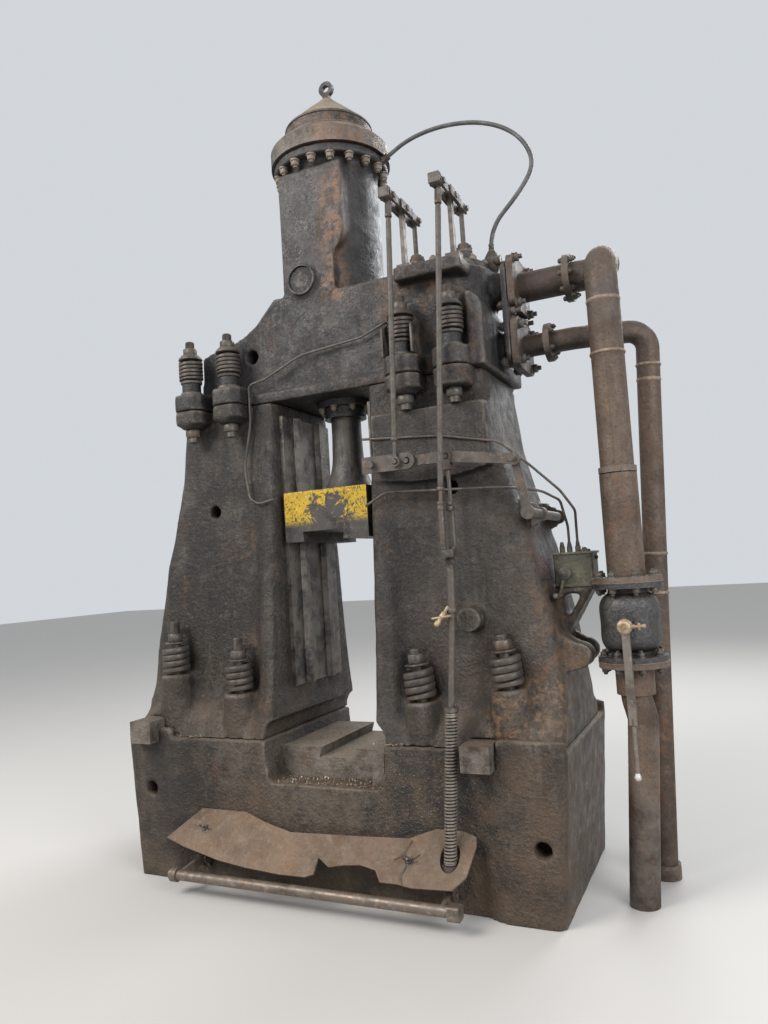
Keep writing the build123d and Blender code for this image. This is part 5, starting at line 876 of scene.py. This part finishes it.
def add_cover_plate_details():
    nuts = Shape()
    normal = Vector((0, -1.125, 1)).normalized()
    slope = Vector((0, -1, -1.125)).normalized()
    origin = Vector((0, -0.455, 0.345))
    for x, down in ((-0.639, 0.10), (0.464, 0.15)):
        place = origin + Vector((x, 0, 0)) + slope * down + normal * 0.0095
        turned(nuts, place, normal, [(0.02, -0.002), (0.02, 0.002), (0.017, 0.003)], 20)
        hex_nut(nuts, place, normal, 0.0135, 0.012, x)
        threaded(nuts, place + normal * 0.01, normal, 0.006, 0.02, 0.0025, 12)
        for side in (-1, 1):
            wing = Vector((side, 0.25, 0)).normalized()
            rod_path(nuts, [place + normal * 0.014, place + normal * 0.018 + wing * 0.014,
                            place + normal * 0.03 + wing * 0.026, place + normal * 0.038 + wing * 0.024],
                     0.0042, 8)
    nuts.made("plate_nuts", NUT, "frame", "fasteners")
    wire = Shape()
    base = origin + slope * 0.2 + normal * 0.013 + Vector((0.45, 0, 0))
    rod_path(wire, [base + Vector((0.01, 0, 0)) - slope * 0.14,
                    base + Vector((-0.014, 0, 0)) - slope * 0.08 + normal * 0.006,
                    base + Vector((0.006, 0, 0)) - slope * 0.03,
                    base + Vector((-0.01, 0, 0)) + slope * 0.02 + normal * 0.005,
                    base + Vector((0.004, 0, 0)) + slope * 0.045], 0.0022, 8)
    rod_path(wire, [base + Vector((-0.055, 0, 0)) - slope * 0.05,
                    base + Vector((-0.015, 0, 0)) - slope * 0.075 + normal * 0.004,
                    base + Vector((0.03, 0, 0)) - slope * 0.06, base + Vector((0.06, 0, 0)) - slope * 0.085],
             0.0018, 8)
    wire.made("plate_wire", ROD, "frame", "treadle_steel")


def add_lubricator_details():
    parts = Shape()
    for x, y in ((1.118, -0.06), (1.152, -0.06), (1.19, -0.06)):
        hex_nut(parts, (x, y, 1.546), UP, 0.0105, 0.012, x * 20)
        turned(parts, (x, y, 1.556), UP, [(0.0085, 0), (0.0085, 0.008), (0.0068, 0.012)], 14)
    for x in (1.1, 1.25):
        for z in (1.375, 1.5):
            bolt_head(parts, (x, -0.125, z), FRONT, 0.008, 0.008, 0.004, turn=x)
    for z in (1.39, 1.49):
        bolt_head(parts, (1.262, -0.05, z), RIGHT, 0.009, 0.009, 0.005, turn=z)
    turned(parts, (1.137, -0.151, 1.424), FRONT, [
        (0.03, -0.004), (0.03, 0.002), (0.024, 0.006), (0.012, 0.007), (0.012, 0.014), (0.006, 0.017)], 24)
    turned(parts, (1.109, -0.193, 1.328), FRONT, [
        (0.009, 0.0), (0.0125, 0.004), (0.0135, 0.03), (0.0115, 0.05), (0.005, 0.056)], 18)
    turned(parts, (1.225, -0.09, 1.52), UP, [
        (0.026, 0), (0.026, 0.006), (0.024, 0.009), (0.012, 0.011), (0.012, 0.016), (0.007, 0.02)], 24)
    parts.made("lubricator_fittings", NUT, "frame", "flanges")


def scattered(seed):
    """Repeatable numbers from 0 to 1."""
    state, modulus = [seed], 2 ** 31

    def draw():
        state[0] = (state[0] * 1103515245 + 12345) % modulus
        return state[0] / modulus

    return draw


def add_scale():
    """Chips of forging scale on the ledges of both feet and on the die holder."""
    chips, draw = Shape(), scattered(7)
    areas = ((0.62, 1.0, -0.46, -0.40, LEDGE_Z, 260), (0.98, 1.13, -0.46, -0.30, 0.702, 260),
             (-1.1, -0.62, -0.46, -0.40, LEDGE_Z, 160), (-0.3, 0.3, -0.44, -0.31, 0.496, 260),
             (0.25, 0.42, -0.46, -0.44, LEDGE_Z, 60))
    for x0, x1, y0, y1, z, count in areas:
        for _ in range(count):
            centre = Vector((x0 + (x1 - x0) * draw(), y0 + (y1 - y0) * draw(),
                             z + 0.002 + 0.006 * draw() * draw()))
            size = 0.0025 + 0.006 * draw() * draw()
            tilt = Matrix.Rotation(draw() * 3, 3, "X") @ Matrix.Rotation(draw() * 6, 3, "Z")
            ring = [Vector((cos(a) * size * (0.7 + 0.6 * draw()), sin(a) * size * (0.7 + 0.6 * draw()), 0))
                    for a in (0, 1.3, 2.5, 3.8, 5.0)]
            thick = Vector((0, 0, size * 0.22))
            chips.rings([[centre + tilt @ (p - thick) for p in ring],
                         [centre + tilt @ (p * 0.85 + thick) for p in ring]])
    chips.made("scale_chips", SCALE, "frame", "anvil", smooth=0)


add_cover_details()
add_round_plate()
add_hose_clamps()
add_link_details()
add_pipe_details()
add_valve_lever_details()
add_rod_details()
add_cover_plate_details()
add_lubricator_details()
add_scale()


# Floor, lights and background
def add_stage():
    mesh = bpy.data.meshes.new("floor")
    reach = 30
    mesh.from_pydata([(-reach, -reach, 0), (reach, -reach, 0), (reach, reach, 0), (-reach, reach, 0)], [],
                     [(0, 1, 2, 3)])
    floor = bpy.data.objects.new("floor", mesh)
    scene.collection.objects.link(floor)
    material = bpy.data.materials.new("floor")
    material.use_nodes = True
    shader = material.node_tree.nodes["Principled BSDF"]
    shader.inputs["Base Color"].default_value = (0.5, 0.48, 0.455, 1)
    shader.inputs["Roughness"].default_value = 0.85
    mesh.materials.append(material)
    world = bpy.data.worlds.new("studio")
    world.use_nodes = True
    world.node_tree.nodes["Background"].inputs["Color"].default_value = (0.86, 0.9, 0.95, 1)
    world.node_tree.nodes["Background"].inputs["Strength"].default_value = 0.75
    scene.world = world
    for name, place, size, power, tint in (
        ("key", (-3.5, -5.5, 6.5), 4.0, 620, (1, 0.97, 0.93)),
        ("fill", (5.5, -3.5, 3.5), 3.5, 260, (0.95, 0.97, 1)),
        ("back", (2.0, 5.5, 6.5), 4.0, 420, (0.95, 0.98, 1)),
    ):
        data = bpy.data.lights.new(name, "AREA")
        data.shape = "SQUARE"
        data.size = size
        data.energy = power
        data.color = tint
        light = bpy.data.objects.new(name, data)
        scene.collection.objects.link(light)
        light.location = place
        light.rotation_euler = (Vector((0.3, 0, 1.8)) - Vector(place)).to_track_quat("-Z", "Y").to_euler()


add_stage()
